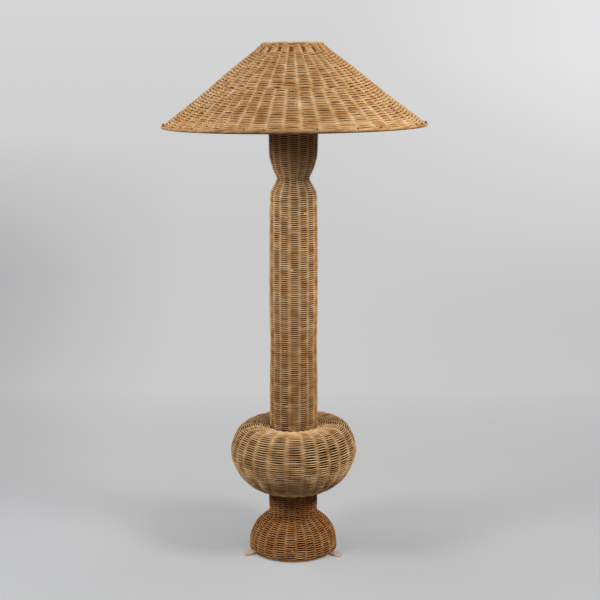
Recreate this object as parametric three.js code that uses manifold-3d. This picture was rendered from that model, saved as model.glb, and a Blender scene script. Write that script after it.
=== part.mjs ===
// Woven rattan floor lamp: a weighted stand of stacked woven forms under a wide conical shade.
// Millimetres, +Z up, origin on the floor under the middle of the base, front towards -Y.

import * as THREE from 'three';
import { mergeVertices } from 'three/addons/utils/BufferGeometryUtils.js';
import Module from 'manifold-3d';

const wasm = await Module();
wasm.setup();

// Clearances
const gap = 0.3;
const looseFit = 0.6;
const cutOverrun = 5;
const weldTolerance = 0.001;

// Woven skins of the stand
const skinThickness = 9.5;
const baseRadius = 141.5;
const domeHeight = 113.2;
const neckRadius = 79;
const neckHeight = 82;
const bulbRadius = 201.5;
const bulbHeight = 211;
const columnRadius = 76.5;
const columnHeight = 702;
const shoulderHeight = 83;
const pinchRadius = 52;
const cupRadius = 75;
const cupHeight = 149;
const bellyStakes = 25;
const fluteDepth = 3;

// Outlines, as shares [between the narrow and the wide radius, of the height]
const domeShares = [
  [1, 0], [0.992, 0.18], [0.936, 0.38], [0.784, 0.575], [0.528, 0.752], [0.224, 0.894], [0, 1],
];
const bulbLowerShares = [[0, 0], [0.269, 0.033], [0.482, 0.1], [0.682, 0.194], [0.869, 0.336], [0.98, 0.498]];
const bulbUpperShares = [
  [1, 0.654], [0.94, 0.8], [0.812, 0.938], [0.628, 1.028], [0.388, 1.071], [0.188, 1.052], [0, 1],
];
const columnShares = [[1, 0], [1, 0.93], [0.986, 1]];
const shoulderShares = [[0.878, 0.41], [0.629, 0.627], [0.192, 0.855], [0, 1]];
const cupShares = [[0, 0], [0.44, 0.15], [0.739, 0.289], [0.96, 0.42], [1, 0.56], [1, 1]];

// Rod frames inside the skins
const rimRodRadius = 4;
const ringRodRadius = 3;
const ribRodRadius = 2.5;
const ribClearance = 1.5;
const ribCount = 5;
const columnRingShare = 0.5;

// Feet, screws and ballast
const footThickness = 4.5;
const footWidth = 24;
const footReach = 34;
const footEntry = 57.5;
const footCornerShare = 0.2;
const footAngles = { left: 207, right: 329, rear: 90 };
const screwInnerShare = 0.3;
const screwHeadRadius = 4.5;
const screwShankRadius = 2;
const screwLength = 15;
const screwHeadHeight = 2.6;
const screwSink = 0.5;
const ballastThickness = 18;
const counterboreRadius = 15;
const counterboreDepth = 13;

// Stem and its fastenings
const stemRadius = 6.5;
const stemBore = 5;
const stemTail = 3;
const cordHoleRadius = 3.6;
const cordHoleRise = 16;
const nutAcrossFlats = 19;
const nutHeight = 6;
const topNutHeight = 5;
const washerRadius = 13.5;
const washerThickness = 1.5;
const plateThickness = 3;

// Cord bushing at the back of the base
const bushingSleeveRadius = 6;
const bushingBoreRadius = 4;
const bushingFlangeRadius = 9.5;
const bushingFlangeThickness = 2;
const bushingTail = 5;
const bushingRise = 27;

// Lamp holder
const capRadius = 16.5;
const capHeight = 17;
const capNeckRadius = 9;
const capWall = 1;
const shellRadius = 17.6;
const shellWall = 0.8;
const shellLength = 44;
const shellLap = 5;
const sleeveWall = 0.8;
const holderBodyHeight = 20;
const holderBodyClearance = 1.2;
const screwShellWall = 0.6;
const screwShellDepth = 21;
const contactRadius = 3;
const contactHeight = 1.4;
const stemEntry = 7;

// Turn knob of the switch
const knobShaftRadius = 2;
const knobHeadRadius = 6.5;
const knobHeadLength = 11;
const knobStandOff = 5;
const knobSeatDepth = 6;
const knobRiseShare = 0.5;
const knobFluteShare = 0.86;
const knobFlutes = 8;

// Light bulb
const bulbCapRadius = 13;
const bulbCapLength = 22;
const bulbTipRadius = 5;
const bulbTipLength = 4;
const globeRadius = 30;
const globeHeight = 84;
const globeNeckRadius = 12;
const globeWall = 1;
const globeShares = [[0, 0], [0.06, 0.12], [0.42, 0.3], [0.86, 0.5], [1, 0.66]];
const globeDomeShares = [[0.9, 0.8], [0.66, 0.91], [0.34, 0.98], [0, 1]];

// Harp, its saddle and ferrules
const saddleThickness = 1.6;
const saddleWidth = 15;
const saddleHalfSpan = 31;
const saddleArmHeight = 9;
const postRadius = 1.9;
const postHeight = 5;
const harpHeight = 203;
const harpWireRadius = 1.9;
const harpHalfWidth = 55;
const harpLegHeight = 26;
const harpLoopShares = [
  [0.66, 0.2], [0.9, 0.36], [1, 0.54], [0.95, 0.71], [0.74, 0.86], [0.42, 0.955], [0.13, 0.985],
];
const harpBossRadius = 5.5;
const harpBossHeight = 6;
const harpFlangeRadius = 8.5;
const harpFlangeThickness = 2;
const studRadius = 3.1;
const studGrip = 10;
const ferruleBore = 2.5;
const ferruleTopRadius = 3.4;
const ferruleFootRadius = 4.2;
const ferruleLength = 12;

// Shade
const shadeRimRadius = 401.5;
const shadeTopRadius = 96;
const shadeHeight = 247;
const shadeThickness = 11;
const shadeLowStakes = 52;
const shadeHighStakes = 40;
const shadeLowShare = 0.494;
const shadeLap = 1;
const shadeRodRadius = 2.5;
const shadeRimRodRadius = 3;
const shadeRingInset = 6;
const shadeRibCount = 10;
const hubRadius = 16;
const hubThickness = 2.4;
const spiderDrop = 38.8;
const spiderRodRadius = 2;
const spiderArms = 3;
const spiderBendShares = [[0.8, 0.06], [0.94, 0.16], [1, 0.42], [1, 0.92]];
const finialHeight = 29;
const finialFootRadius = 6.5;
const finialWaistRadius = 4.6;
const finialBallRadius = 9.5;
const finialBoreDepth = 12;

// Facets
const standFacets = 30;
const holderFacets = 20;
const smallFacets = 16;
const rodSides = 5;
const wireSides = 6;
const harpSteps = 26;

// Heights, from the floor up
const rimZ = footThickness + gap;
const domeTopZ = rimZ + domeHeight;
const neckTopZ = domeTopZ + neckHeight;
const bulbTopZ = neckTopZ + bulbHeight;
const columnTopZ = bulbTopZ + columnHeight;
const pinchZ = columnTopZ + shoulderHeight;
const cupTopZ = pinchZ + cupHeight;
const cupPlateZ = cupTopZ + gap;
const topNutZ = cupPlateZ + plateThickness + gap;
const saddleZ = topNutZ + topNutHeight + gap;
const saddleTopZ = saddleZ + saddleThickness;
const capZ = saddleTopZ + gap;
const harpTopZ = saddleTopZ + harpHeight;
const hubZ = harpTopZ + gap;
const finialZ = hubZ + hubThickness + gap;
const shadeTopZ = hubZ + hubThickness + spiderDrop;
const shadeRimZ = shadeTopZ - shadeHeight;
const ballastZ = rimZ;
const stemTopZ = capZ + stemEntry;
const washerZ = ballastZ + counterboreDepth - gap - washerThickness;
const baseNutZ = washerZ - gap - nutHeight;
const stemBottomZ = baseNutZ - stemTail;
const lowerPlateZ = neckTopZ - plateThickness / 2;
const upperPlateZ = bulbTopZ - plateThickness / 2;

// Insets from the outer faces of the skins to the middle of the rods
const ringInset = skinThickness + gap + ringRodRadius;
const ribInset = skinThickness + ribClearance + ribRodRadius;
const shadeRibInset = shadeThickness + gap + shadeRodRadius;
const neckBore = neckRadius - skinThickness;
const columnBore = columnRadius - skinThickness;
const rimRingRadius = baseRadius - skinThickness - gap - rimRodRadius;
const ringFlatShare = Math.cos((2 * Math.PI) / standFacets);
const shadeSlant = Math.hypot(shadeRimRadius - shadeTopRadius, shadeHeight);
const shadeFlare = (shadeRimRadius - shadeTopRadius) / shadeHeight;
const shadeNormalShare = shadeHeight / shadeSlant;

const turn = 2 * Math.PI;
const quarterTurn = Math.PI / 2;

// A route through points that keeps each of them as a ring of the rod
class Route extends THREE.Curve {
  constructor(points) {
    super();
    this.points = points;
  }

  getUtoTmapping(u) {
    return u;
  }

  getPoint(t, target = new THREE.Vector3()) {
    const place = t * (this.points.length - 1);
    const index = Math.min(Math.floor(place), this.points.length - 2);
    return target.lerpVectors(this.points[index], this.points[index + 1], place - index);
  }
}

// Welds a geometry, drops its empty triangles and turns its faces outwards
function closed(geometry) {
  const bare = geometry.clone();
  bare.deleteAttribute('normal');
  bare.deleteAttribute('uv');
  const merged = mergeVertices(bare, weldTolerance);
  const corners = [0, 1, 2].map(() => new THREE.Vector3());
  const kept = [];
  let volume = 0;
  for (let start = 0; start < merged.index.count; start += 3) {
    const triangle = [0, 1, 2].map((offset) => merged.index.getX(start + offset));
    if (new Set(triangle).size < 3) continue;
    kept.push(triangle);
    corners.forEach((corner, i) => corner.fromBufferAttribute(merged.attributes.position, triangle[i]));
    volume += corners[0].dot(corners[1].clone().cross(corners[2]));
  }
  const outward = volume < 0 ? kept.map((triangle) => triangle.toReversed()) : kept;
  merged.setIndex(outward.flat());
  return merged;
}

function toSolid(geometry) {
  const body = closed(geometry);
  const mesh = new wasm.Mesh({
    numProp: 3,
    vertProperties: new Float32Array(body.attributes.position.array),
    triVerts: new Uint32Array(body.index.array),
  });
  return new wasm.Manifold(mesh);
}

function toGeometry(solid) {
  const mesh = solid.getMesh();
  const geometry = new THREE.BufferGeometry();
  const places = new Float32Array(mesh.vertProperties);
  geometry.setAttribute('position', new THREE.BufferAttribute(places, mesh.numProp));
  geometry.setIndex(Array.from(mesh.triVerts));
  return geometry;
}

function join(geometries) {
  return toGeometry(geometries.map(toSolid).reduce((whole, piece) => whole.add(piece)));
}

function cut(geometry, tools) {
  return toGeometry(tools.map(toSolid).reduce((whole, tool) => whole.subtract(tool), toSolid(geometry)));
}

// A turned piece about Z from [radius, height] points
function turned(points, facets) {
  const profile = points.map(([radius, height]) => new THREE.Vector2(radius, height));
  return closed(new THREE.LatheGeometry(profile, facets).rotateX(quarterTurn));
}

function washer(outer, bore, thickness, facets) {
  return turned([[bore, 0], [outer, 0], [outer, thickness], [bore, thickness], [bore, 0]], facets);
}

function peg(radius, low, high, facets) {
  return new THREE.CylinderGeometry(radius, radius, high - low, facets)
    .rotateX(quarterTurn)
    .translate(0, 0, (low + high) / 2);
}

// A ring with half as many facets as the skin round it, so that their corners line up
function ringRod(radius, rodRadius, height, skinFacets) {
  return new THREE.TorusGeometry(radius, rodRadius, rodSides, skinFacets / 2)
    .rotateZ(-quarterTurn)
    .translate(0, 0, height);
}

function circle(radius, sides) {
  const shape = new THREE.Shape();
  shape.setFromPoints(Array.from({ length: sides }, (_, i) => {
    const angle = (i / sides) * turn;
    return new THREE.Vector2(radius * Math.cos(angle), radius * Math.sin(angle));
  }));
  return shape;
}

function rod(points, radius, sides) {
  const settings = { steps: points.length - 1, extrudePath: new Route(points), bevelEnabled: false };
  return closed(new THREE.ExtrudeGeometry(circle(radius, sides), settings));
}

// A rod that follows [radius, height] points in the upright plane at an angle about Z
function upright(outline, angle, radius) {
  const points = outline.map(([r, z]) => new THREE.Vector3(r * Math.cos(angle), r * Math.sin(angle), z));
  return rod(points, radius, rodSides);
}

function spread(shares, narrow, wide, height, start) {
  return shares.map(([across, up]) => [narrow + across * (wide - narrow), start + up * height]);
}

function outwardNormal(from, to) {
  const along = new THREE.Vector2(to[0] - from[0], to[1] - from[1]).normalize();
  return new THREE.Vector2(along.y, -along.x);
}

// Moves an outline inwards by a distance, mitred at its corners
function inset(outline, distance) {
  const last = outline.length - 1;
  return outline.map((point, i) => {
    const before = outwardNormal(outline[Math.max(i - 1, 0)], outline[Math.max(i, 1)]);
    const after = outwardNormal(outline[Math.min(i, last - 1)], outline[Math.min(i + 1, last)]);
    const middle = before.clone().add(after).normalize();
    const reach = distance / middle.dot(before);
    return [point[0] - middle.x * reach, point[1] - middle.y * reach];
  });
}

// The inner end of a wall whose end face is level, or plumb
function endPoint(outline, thickness, atStart, level) {
  const [point, next] = atStart ? [outline[0], outline[1]] : [outline.at(-1), outline.at(-2)];
  const normal = atStart ? outwardNormal(point, next) : outwardNormal(next, point);
  return level
    ? [point[0] - thickness / normal.x, point[1]]
    : [point[0], point[1] - thickness / normal.y];
}

function innerFace(outline, thickness, startLevel, endLevel) {
  const inner = inset(outline, thickness);
  inner[0] = endPoint(outline, thickness, true, startLevel);
  inner[inner.length - 1] = endPoint(outline, thickness, false, endLevel);
  return inner;
}

function skin(outline, thickness, startLevel, endLevel, facets) {
  const inner = innerFace(outline, thickness, startLevel, endLevel);
  return turned([...outline, ...inner.reverse(), outline[0]], facets);
}

// A woven wall with a rib over each stake: between them its outer face falls back to a second outline
function ribbedSkin(outline, fallen, inner, stakes) {
  const back = inner.toReversed();
  const profile = [...outline, ...back, outline[0]].map(([radius, height]) => new THREE.Vector2(radius, height));
  const lathe = new THREE.LatheGeometry(profile, 2 * stakes);
  const between = [...fallen, ...back, fallen[0]];
  for (let facet = 1; facet < 2 * stakes; facet += 2) {
    const angle = (facet / (2 * stakes)) * turn;
    between.forEach(([radius, height], i) => {
      const index = facet * profile.length + i;
      lathe.attributes.position.setXYZ(index, radius * Math.sin(angle), height, radius * Math.cos(angle));
    });
  }
  return closed(lathe.rotateX(quarterTurn));
}

// Outlines of the woven forms, in the lamp's own heights
function baseOutline() {
  const dome = spread(domeShares, neckRadius, baseRadius, domeHeight, rimZ);
  return [...dome, [neckRadius, neckTopZ - gap / 2]];
}

function bulbOutline() {
  const bottom = neckTopZ + gap / 2;
  const height = bulbHeight - gap;
  const lower = spread(bulbLowerShares, neckRadius, bulbRadius, height, bottom);
  const upper = spread(bulbUpperShares, columnRadius, bulbRadius, height, bottom);
  return [[neckBore, bottom], ...lower, ...upper, [columnBore, bottom + height]];
}

function columnOutline() {
  const straight = spread(columnShares, 0, columnRadius, columnHeight - gap / 2, bulbTopZ + gap / 2);
  const shoulder = spread(shoulderShares, pinchRadius, columnRadius, shoulderHeight - gap / 2, columnTopZ);
  return [...straight, ...shoulder];
}

function cupOutline() {
  return spread(cupShares, pinchRadius, cupRadius, cupHeight - gap / 2, pinchZ + gap / 2);
}

// Woven skins of the stand
function baseWeave() {
  const wall = skin(baseOutline(), skinThickness, true, true, standFacets);
  const inner = baseRadius - skinThickness - cutOverrun;
  const hole = peg(bushingSleeveRadius + gap, inner, baseRadius + cutOverrun, smallFacets)
    .rotateX(-quarterTurn)
    .translate(0, 0, rimZ + bushingRise);
  return cut(wall, [hole]);
}

function bulbWeave() {
  const outline = bulbOutline();
  const fallen = inset(outline, fluteDepth);
  const kept = [0, 1, outline.length - 2, outline.length - 1];
  kept.forEach((i) => { fallen[i] = outline[i]; });
  return ribbedSkin(outline, fallen, innerFace(outline, skinThickness, false, false), bellyStakes);
}

function columnWeave() {
  return skin(columnOutline(), skinThickness, true, true, standFacets);
}

function cupWeave() {
  return skin(cupOutline(), skinThickness, true, true, standFacets);
}

function ribAngles(count) {
  return Array.from({ length: count }, (_, i) => (i / count) * turn - quarterTurn);
}

function baseFrame() {
  const topRingRadius = neckBore - gap - ringRodRadius;
  const topRingZ = lowerPlateZ - gap - ringRodRadius;
  const rimRingZ = rimZ + rimRodRadius;
  const inner = inset(baseOutline(), ribInset).slice(1, -1);
  const route = [[rimRingRadius, rimRingZ], ...inner, [topRingRadius, topRingZ]];
  return join([
    ringRod(rimRingRadius, rimRodRadius, rimRingZ, standFacets),
    ringRod(topRingRadius, ringRodRadius, topRingZ, standFacets),
    ...ribAngles(ribCount).map((angle) => upright(route, angle, ribRodRadius)),
  ]);
}

function bulbFrame() {
  const lowRadius = neckBore - gap - ringRodRadius;
  const lowZ = lowerPlateZ + plateThickness + gap + ringRodRadius;
  const highRadius = columnBore - gap - ringRodRadius;
  const highZ = upperPlateZ - gap - ringRodRadius;
  const inner = inset(bulbOutline(), ribInset).slice(2, -1);
  const floorZ = neckTopZ + ribInset + gap;
  const ceilingZ = bulbTopZ - ribInset - ribRodRadius;
  const route = [
    [lowRadius, lowZ],
    [lowRadius, floorZ],
    ...inner,
    [columnBore, ceilingZ],
    [highRadius, ceilingZ + ribRodRadius],
    [highRadius, highZ],
  ];
  const belly = inset(bulbOutline(), ribInset)[bulbLowerShares.length + 1];
  return join([
    ringRod(lowRadius, ringRodRadius, lowZ, 2 * bellyStakes),
    ringRod(belly[0] - ribRodRadius, ringRodRadius, belly[1], 2 * bellyStakes),
    ringRod(highRadius, ringRodRadius, highZ, 2 * bellyStakes),
    ...ribAngles(ribCount).map((angle) => upright(route, angle, ribRodRadius)),
  ]);
}

function columnFrame() {
  const lowRadius = columnBore - gap - ringRodRadius;
  const lowZ = upperPlateZ + plateThickness + gap + ringRodRadius;
  const highRadius = cupRadius - ringInset;
  const highZ = cupTopZ - ringRodRadius;
  const columnEnd = endPoint(columnOutline(), skinThickness, false, true);
  const cupEnd = endPoint(cupOutline(), skinThickness, true, true);
  const pinchRingRadius = Math.min(columnEnd[0], cupEnd[0]) - gap - ringRodRadius;
  const column = inset(columnOutline(), ringInset).slice(1, -1);
  const cup = inset(cupOutline(), ringInset).slice(1, -1);
  const route = [[lowRadius, lowZ], ...column, [pinchRingRadius, pinchZ], ...cup, [highRadius, highZ]];
  const middleZ = bulbTopZ + columnRingShare * columnHeight;
  return join([
    ringRod(lowRadius, ringRodRadius, lowZ, standFacets),
    ringRod(lowRadius - ringRodRadius, ringRodRadius, middleZ, standFacets),
    ringRod(pinchRingRadius, ringRodRadius, pinchZ, standFacets),
    ringRod(highRadius, ringRodRadius, highZ, standFacets),
    ...ribAngles(ribCount).map((angle) => upright(route, angle, ribRodRadius)),
  ]);
}

// Feet, ballast and their screws, each foot drawn along +X
const footInnerRadius = baseRadius - footEntry;
const footLength = footEntry + footReach;
const screwRadius = footInnerRadius + screwInnerShare * footLength;

function foot() {
  const half = footWidth / 2;
  const corner = footWidth * footCornerShare;
  const outer = baseRadius + footReach;
  const shape = new THREE.Shape();
  shape.moveTo(footInnerRadius, -half);
  shape.lineTo(outer - corner, -half);
  shape.quadraticCurveTo(outer, -half, outer, corner - half);
  shape.lineTo(outer, half - corner);
  shape.quadraticCurveTo(outer, half, outer - corner, half);
  shape.lineTo(footInnerRadius, half);
  const settings = { depth: footThickness, bevelEnabled: false, curveSegments: 3 };
  const slab = new THREE.ExtrudeGeometry(shape, settings);
  const bore = peg(screwShankRadius + gap, -cutOverrun, footThickness + cutOverrun, smallFacets);
  const sink = turned([
    [0, -cutOverrun],
    [screwHeadRadius + gap, -cutOverrun],
    [screwHeadRadius + gap, screwSink],
    [screwShankRadius + gap, screwSink + screwHeadHeight],
    [0, screwSink + screwHeadHeight],
  ], smallFacets);
  return cut(slab, [bore.translate(screwRadius, 0, 0), sink.translate(screwRadius, 0, 0)]);
}

function footScrew() {
  return turned([
    [0, screwSink],
    [screwHeadRadius, screwSink],
    [screwShankRadius, screwSink + screwHeadHeight],
    [screwShankRadius, screwSink + screwLength - screwShankRadius],
    [0, screwSink + screwLength],
  ], smallFacets).translate(screwRadius, 0, 0);
}

function ballastPlate() {
  const outer = rimRingRadius * ringFlatShare - rimRodRadius - gap;
  const plate = turned([
    [counterboreRadius, 0],
    [outer, 0],
    [outer, ballastThickness],
    [stemRadius + gap, ballastThickness],
    [stemRadius + gap, counterboreDepth],
    [counterboreRadius, counterboreDepth],
    [counterboreRadius, 0],
  ], standFacets);
  const depth = screwSink + screwLength + gap - ballastZ;
  const holes = Object.values(footAngles).map((degrees) => {
    const angle = THREE.MathUtils.degToRad(degrees);
    return peg(screwShankRadius + gap, -cutOverrun, depth, smallFacets)
      .translate(screwRadius * Math.cos(angle), screwRadius * Math.sin(angle), 0);
  });
  return cut(plate, holes);
}

// Stem and its nuts, washers and plates
function hexNut(height) {
  const outline = circle(nutAcrossFlats / Math.sqrt(3), 6);
  outline.holes.push(new THREE.Path(circle(stemRadius + gap, smallFacets).getPoints().reverse()));
  return closed(new THREE.ExtrudeGeometry(outline, { depth: height, bevelEnabled: false }));
}

function stemPipe() {
  const pipe = washer(stemRadius, stemBore, stemTopZ - stemBottomZ, smallFacets).translate(0, 0, stemBottomZ);
  const holeZ = ballastZ + ballastThickness + cordHoleRise;
  const hole = peg(cordHoleRadius, 0, stemRadius + cutOverrun, smallFacets)
    .rotateX(-quarterTurn)
    .translate(0, 0, holeZ);
  return cut(pipe, [hole]);
}

function baseWasher() {
  return washer(washerRadius, stemRadius + gap, washerThickness, smallFacets);
}

function junctionPlate(radius) {
  return washer(radius, stemRadius + gap, plateThickness, standFacets);
}

function cordBushing() {
  const outer = baseRadius + gap;
  const inner = baseRadius - skinThickness - bushingTail;
  return turned([
    [bushingBoreRadius, inner],
    [bushingSleeveRadius, inner],
    [bushingSleeveRadius, outer],
    [bushingFlangeRadius, outer],
    [bushingFlangeRadius, outer + bushingFlangeThickness],
    [bushingBoreRadius, outer + bushingFlangeThickness],
    [bushingBoreRadius, inner],
  ], smallFacets).rotateX(-quarterTurn);
}

// Lamp holder, drawn upwards from the underside of its cap
const bodyZ = capHeight - shellLap + capWall;
const bodyRadius = shellRadius - shellWall - sleeveWall - holderBodyClearance;
const screwShellZ = bodyZ + holderBodyHeight + gap;
const knobZ = bodyZ + holderBodyHeight * knobRiseShare;

function socketCap() {
  const innerRadius = capRadius - capWall;
  return turned([
    [stemRadius + gap, 0],
    [capNeckRadius, 0],
    [capRadius, capHeight - shellLap - capWall],
    [capRadius, capHeight - shellLap - gap],
    [innerRadius, capHeight - shellLap - gap],
    [innerRadius, capHeight - shellLap - capWall],
    [capNeckRadius, capWall],
    [stemRadius + gap, capWall],
    [stemRadius + gap, 0],
  ], smallFacets);
}

function knobHole(radius) {
  return peg(radius, 0, shellRadius + cutOverrun, smallFacets).rotateX(quarterTurn).translate(0, 0, knobZ);
}

function socketShell() {
  const wall = washer(shellRadius, shellRadius - shellWall, shellLength, holderFacets);
  return cut(wall.translate(0, 0, capHeight - shellLap), [knobHole(knobShaftRadius + looseFit)]);
}

function insulatingSleeve() {
  const outer = shellRadius - shellWall - gap;
  const wall = washer(outer, outer - sleeveWall, shellLength - shellLap, holderFacets);
  return cut(wall.translate(0, 0, capHeight), [knobHole(knobShaftRadius + looseFit)]);
}

function socketInterior() {
  const block = peg(bodyRadius, bodyZ, bodyZ + holderBodyHeight, smallFacets);
  const bottom = bodyRadius - knobSeatDepth - gap;
  const seat = peg(knobShaftRadius + looseFit, bottom, bodyRadius + cutOverrun, smallFacets)
    .rotateX(quarterTurn)
    .translate(0, 0, knobZ);
  return cut(block, [seat]);
}

function screwShell() {
  const bore = bulbCapRadius + looseFit;
  return washer(bore + screwShellWall, bore, screwShellDepth, holderFacets).translate(0, 0, screwShellZ);
}

function centreContact() {
  return turned([
    [0, 0],
    [contactRadius, 0],
    [contactRadius, contactHeight / 2],
    [0, contactHeight],
  ], smallFacets).translate(0, 0, screwShellZ);
}

function switchKnob() {
  const reach = shellRadius + knobStandOff;
  const shaft = peg(knobShaftRadius, bodyRadius - knobSeatDepth, reach + knobShaftRadius, smallFacets);
  const outline = new THREE.Shape(Array.from({ length: 2 * knobFlutes }, (_, i) => {
    const radius = knobHeadRadius * (i % 2 ? knobFluteShare : 1);
    const angle = (i / (2 * knobFlutes)) * turn;
    return new THREE.Vector2(radius * Math.cos(angle), radius * Math.sin(angle));
  }));
  const head = new THREE.ExtrudeGeometry(outline, { depth: knobHeadLength, bevelEnabled: false });
  return join([shaft, head.translate(0, 0, reach)]).rotateX(quarterTurn).translate(0, 0, knobZ);
}

// Light bulb, drawn upwards from its contact tip
const bulbTipZ = screwShellZ + contactHeight + gap;

function bulbCap() {
  return turned([
    [0, 0],
    [bulbTipRadius, 0],
    [bulbCapRadius, bulbTipLength],
    [bulbCapRadius, bulbTipLength + bulbCapLength],
    [0, bulbTipLength + bulbCapLength],
  ], holderFacets);
}

function globe() {
  const side = spread(globeShares, globeNeckRadius, globeRadius, globeHeight, 0);
  const dome = spread(globeDomeShares, 0, globeRadius, globeHeight, 0);
  const outline = [...side, ...dome];
  const inner = inset(outline, globeWall);
  inner[0] = [globeNeckRadius - globeWall, 0];
  inner[inner.length - 1] = [0, globeHeight - globeWall];
  return turned([...outline, ...inner.reverse(), outline[0]], holderFacets)
    .translate(0, 0, bulbTipLength + bulbCapLength + gap);
}

// Saddle, harp and ferrules, in the X-Z plane, drawn upwards from the top of the saddle strap
function harpSaddle() {
  const outer = saddleHalfSpan + saddleThickness / 2;
  const inner = outer - saddleThickness;
  const outline = new THREE.Shape([
    [-outer, -saddleThickness],
    [outer, -saddleThickness],
    [outer, saddleArmHeight],
    [inner, saddleArmHeight],
    [inner, 0],
    [-inner, 0],
    [-inner, saddleArmHeight],
    [-outer, saddleArmHeight],
  ].map(([x, z]) => new THREE.Vector2(x, z)));
  const strap = new THREE.ExtrudeGeometry(outline, { depth: saddleWidth, bevelEnabled: false })
    .rotateX(quarterTurn)
    .translate(0, saddleWidth / 2, 0);
  const bored = cut(strap, [peg(stemRadius + gap, -saddleThickness - cutOverrun, cutOverrun, smallFacets)]);
  const posts = [-1, 1].map((side) => {
    return peg(postRadius, saddleArmHeight - saddleThickness, saddleArmHeight + postHeight, wireSides)
      .translate(side * saddleHalfSpan, 0, 0);
  });
  return join([bored, ...posts]);
}

const legFootZ = saddleArmHeight + postHeight + gap;

function harpRoute() {
  const loopHeight = harpHeight - harpFlangeThickness - harpBossHeight / 2;
  const side = harpLoopShares.map(([across, up]) => {
    return new THREE.Vector3(across * harpHalfWidth, 0, up * loopHeight);
  });
  const legTop = new THREE.Vector3(saddleHalfSpan, 0, legFootZ + harpLegHeight);
  const apex = new THREE.Vector3(0, 0, loopHeight);
  const mirror = (point) => new THREE.Vector3(-point.x, 0, point.z);
  const right = [legTop, ...side];
  const left = right.toReversed().map(mirror);
  const loop = new THREE.CatmullRomCurve3([...right, apex, ...left], false, 'centripetal');
  const legFoot = new THREE.Vector3(saddleHalfSpan, 0, legFootZ);
  return [legFoot, ...loop.getSpacedPoints(harpSteps), mirror(legFoot)];
}

function harp() {
  const bossLow = harpHeight - harpFlangeThickness - harpBossHeight;
  const studTop = harpHeight + gap + hubThickness + gap + studGrip;
  const boss = turned([
    [0, bossLow],
    [harpBossRadius, bossLow],
    [harpBossRadius, harpHeight - harpFlangeThickness],
    [harpFlangeRadius, harpHeight - harpFlangeThickness],
    [harpFlangeRadius, harpHeight],
    [studRadius, harpHeight],
    [studRadius, studTop],
    [0, studTop],
  ], smallFacets);
  return join([rod(harpRoute(), harpWireRadius, wireSides), boss]);
}

function ferrule() {
  return turned([
    [ferruleBore, 0],
    [ferruleFootRadius, 0],
    [ferruleTopRadius, ferruleLength],
    [ferruleBore, ferruleLength],
    [ferruleBore, 0],
  ], smallFacets);
}

// Shade, drawn in the lamp's own heights
function shadeOuterRadius(height) {
  return shadeTopRadius + (shadeTopZ - height) * shadeFlare;
}

function shadeWall(low, high, stakes) {
  const outline = [low, high].map((height) => [shadeOuterRadius(height), height]);
  const fallen = innerFace(outline, fluteDepth, true, true);
  return ribbedSkin(outline, fallen, innerFace(outline, shadeThickness, true, true), stakes);
}

// The shade has more stakes in its wider part
function shadeWeave() {
  const partingZ = shadeRimZ + shadeLowShare * shadeHeight;
  return join([
    shadeWall(shadeRimZ, partingZ + shadeLap, shadeLowStakes),
    shadeWall(partingZ, shadeTopZ, shadeHighStakes),
  ]);
}

const shadeTopRingZ = shadeTopZ - shadeRingInset;
const shadeTopRingRadius = shadeOuterRadius(shadeTopRingZ) - shadeRibInset / shadeNormalShare;
const shadeRimRingZ = shadeRimZ + shadeRingInset;
const shadeRimInset = shadeThickness + gap + shadeRimRodRadius;
const shadeRimRingRadius = shadeOuterRadius(shadeRimRingZ) - shadeRimInset / shadeNormalShare;

function shadeFrame() {
  const route = [[shadeRimRingRadius, shadeRimRingZ], [shadeTopRingRadius, shadeTopRingZ]];
  return join([
    ringRod(shadeRimRingRadius, shadeRimRodRadius, shadeRimRingZ, shadeLowStakes),
    ringRod(shadeTopRingRadius, shadeRodRadius, shadeTopRingZ, standFacets),
    ...ribAngles(shadeRibCount).map((angle) => upright(route, angle, shadeRodRadius)),
  ]);
}

function shadeSpider() {
  const bore = studRadius + looseFit;
  const reach = shadeTopRingRadius - shadeRodRadius - gap - spiderRodRadius;
  const rise = shadeTopRingZ + shadeRodRadius - hubZ;
  const bends = spiderBendShares.map(([across, up]) => [across * reach, hubZ + up * rise]);
  const route = [[(bore + hubRadius) / 2, hubZ + hubThickness / 2], ...bends];
  return join([
    washer(hubRadius, bore, hubThickness, smallFacets).translate(0, 0, hubZ),
    ...ribAngles(spiderArms).map((angle) => upright(route, angle, spiderRodRadius)),
  ]);
}

function finial() {
  const bore = studRadius + looseFit;
  const ball = finialHeight - finialBallRadius;
  return turned([
    [bore, 0],
    [finialFootRadius, 0],
    [finialFootRadius, finialHeight - 2 * finialBallRadius - finialWaistRadius],
    [finialWaistRadius, finialHeight - 2 * finialBallRadius],
    [finialBallRadius * Math.cos(turn / 8), ball - finialBallRadius * Math.sin(turn / 8)],
    [finialBallRadius, ball],
    [finialBallRadius * Math.cos(turn / 8), ball + finialBallRadius * Math.sin(turn / 8)],
    [0, finialHeight],
    [0, finialBoreDepth],
    [bore, finialBoreDepth],
    [bore, 0],
  ], smallFacets);
}

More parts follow.
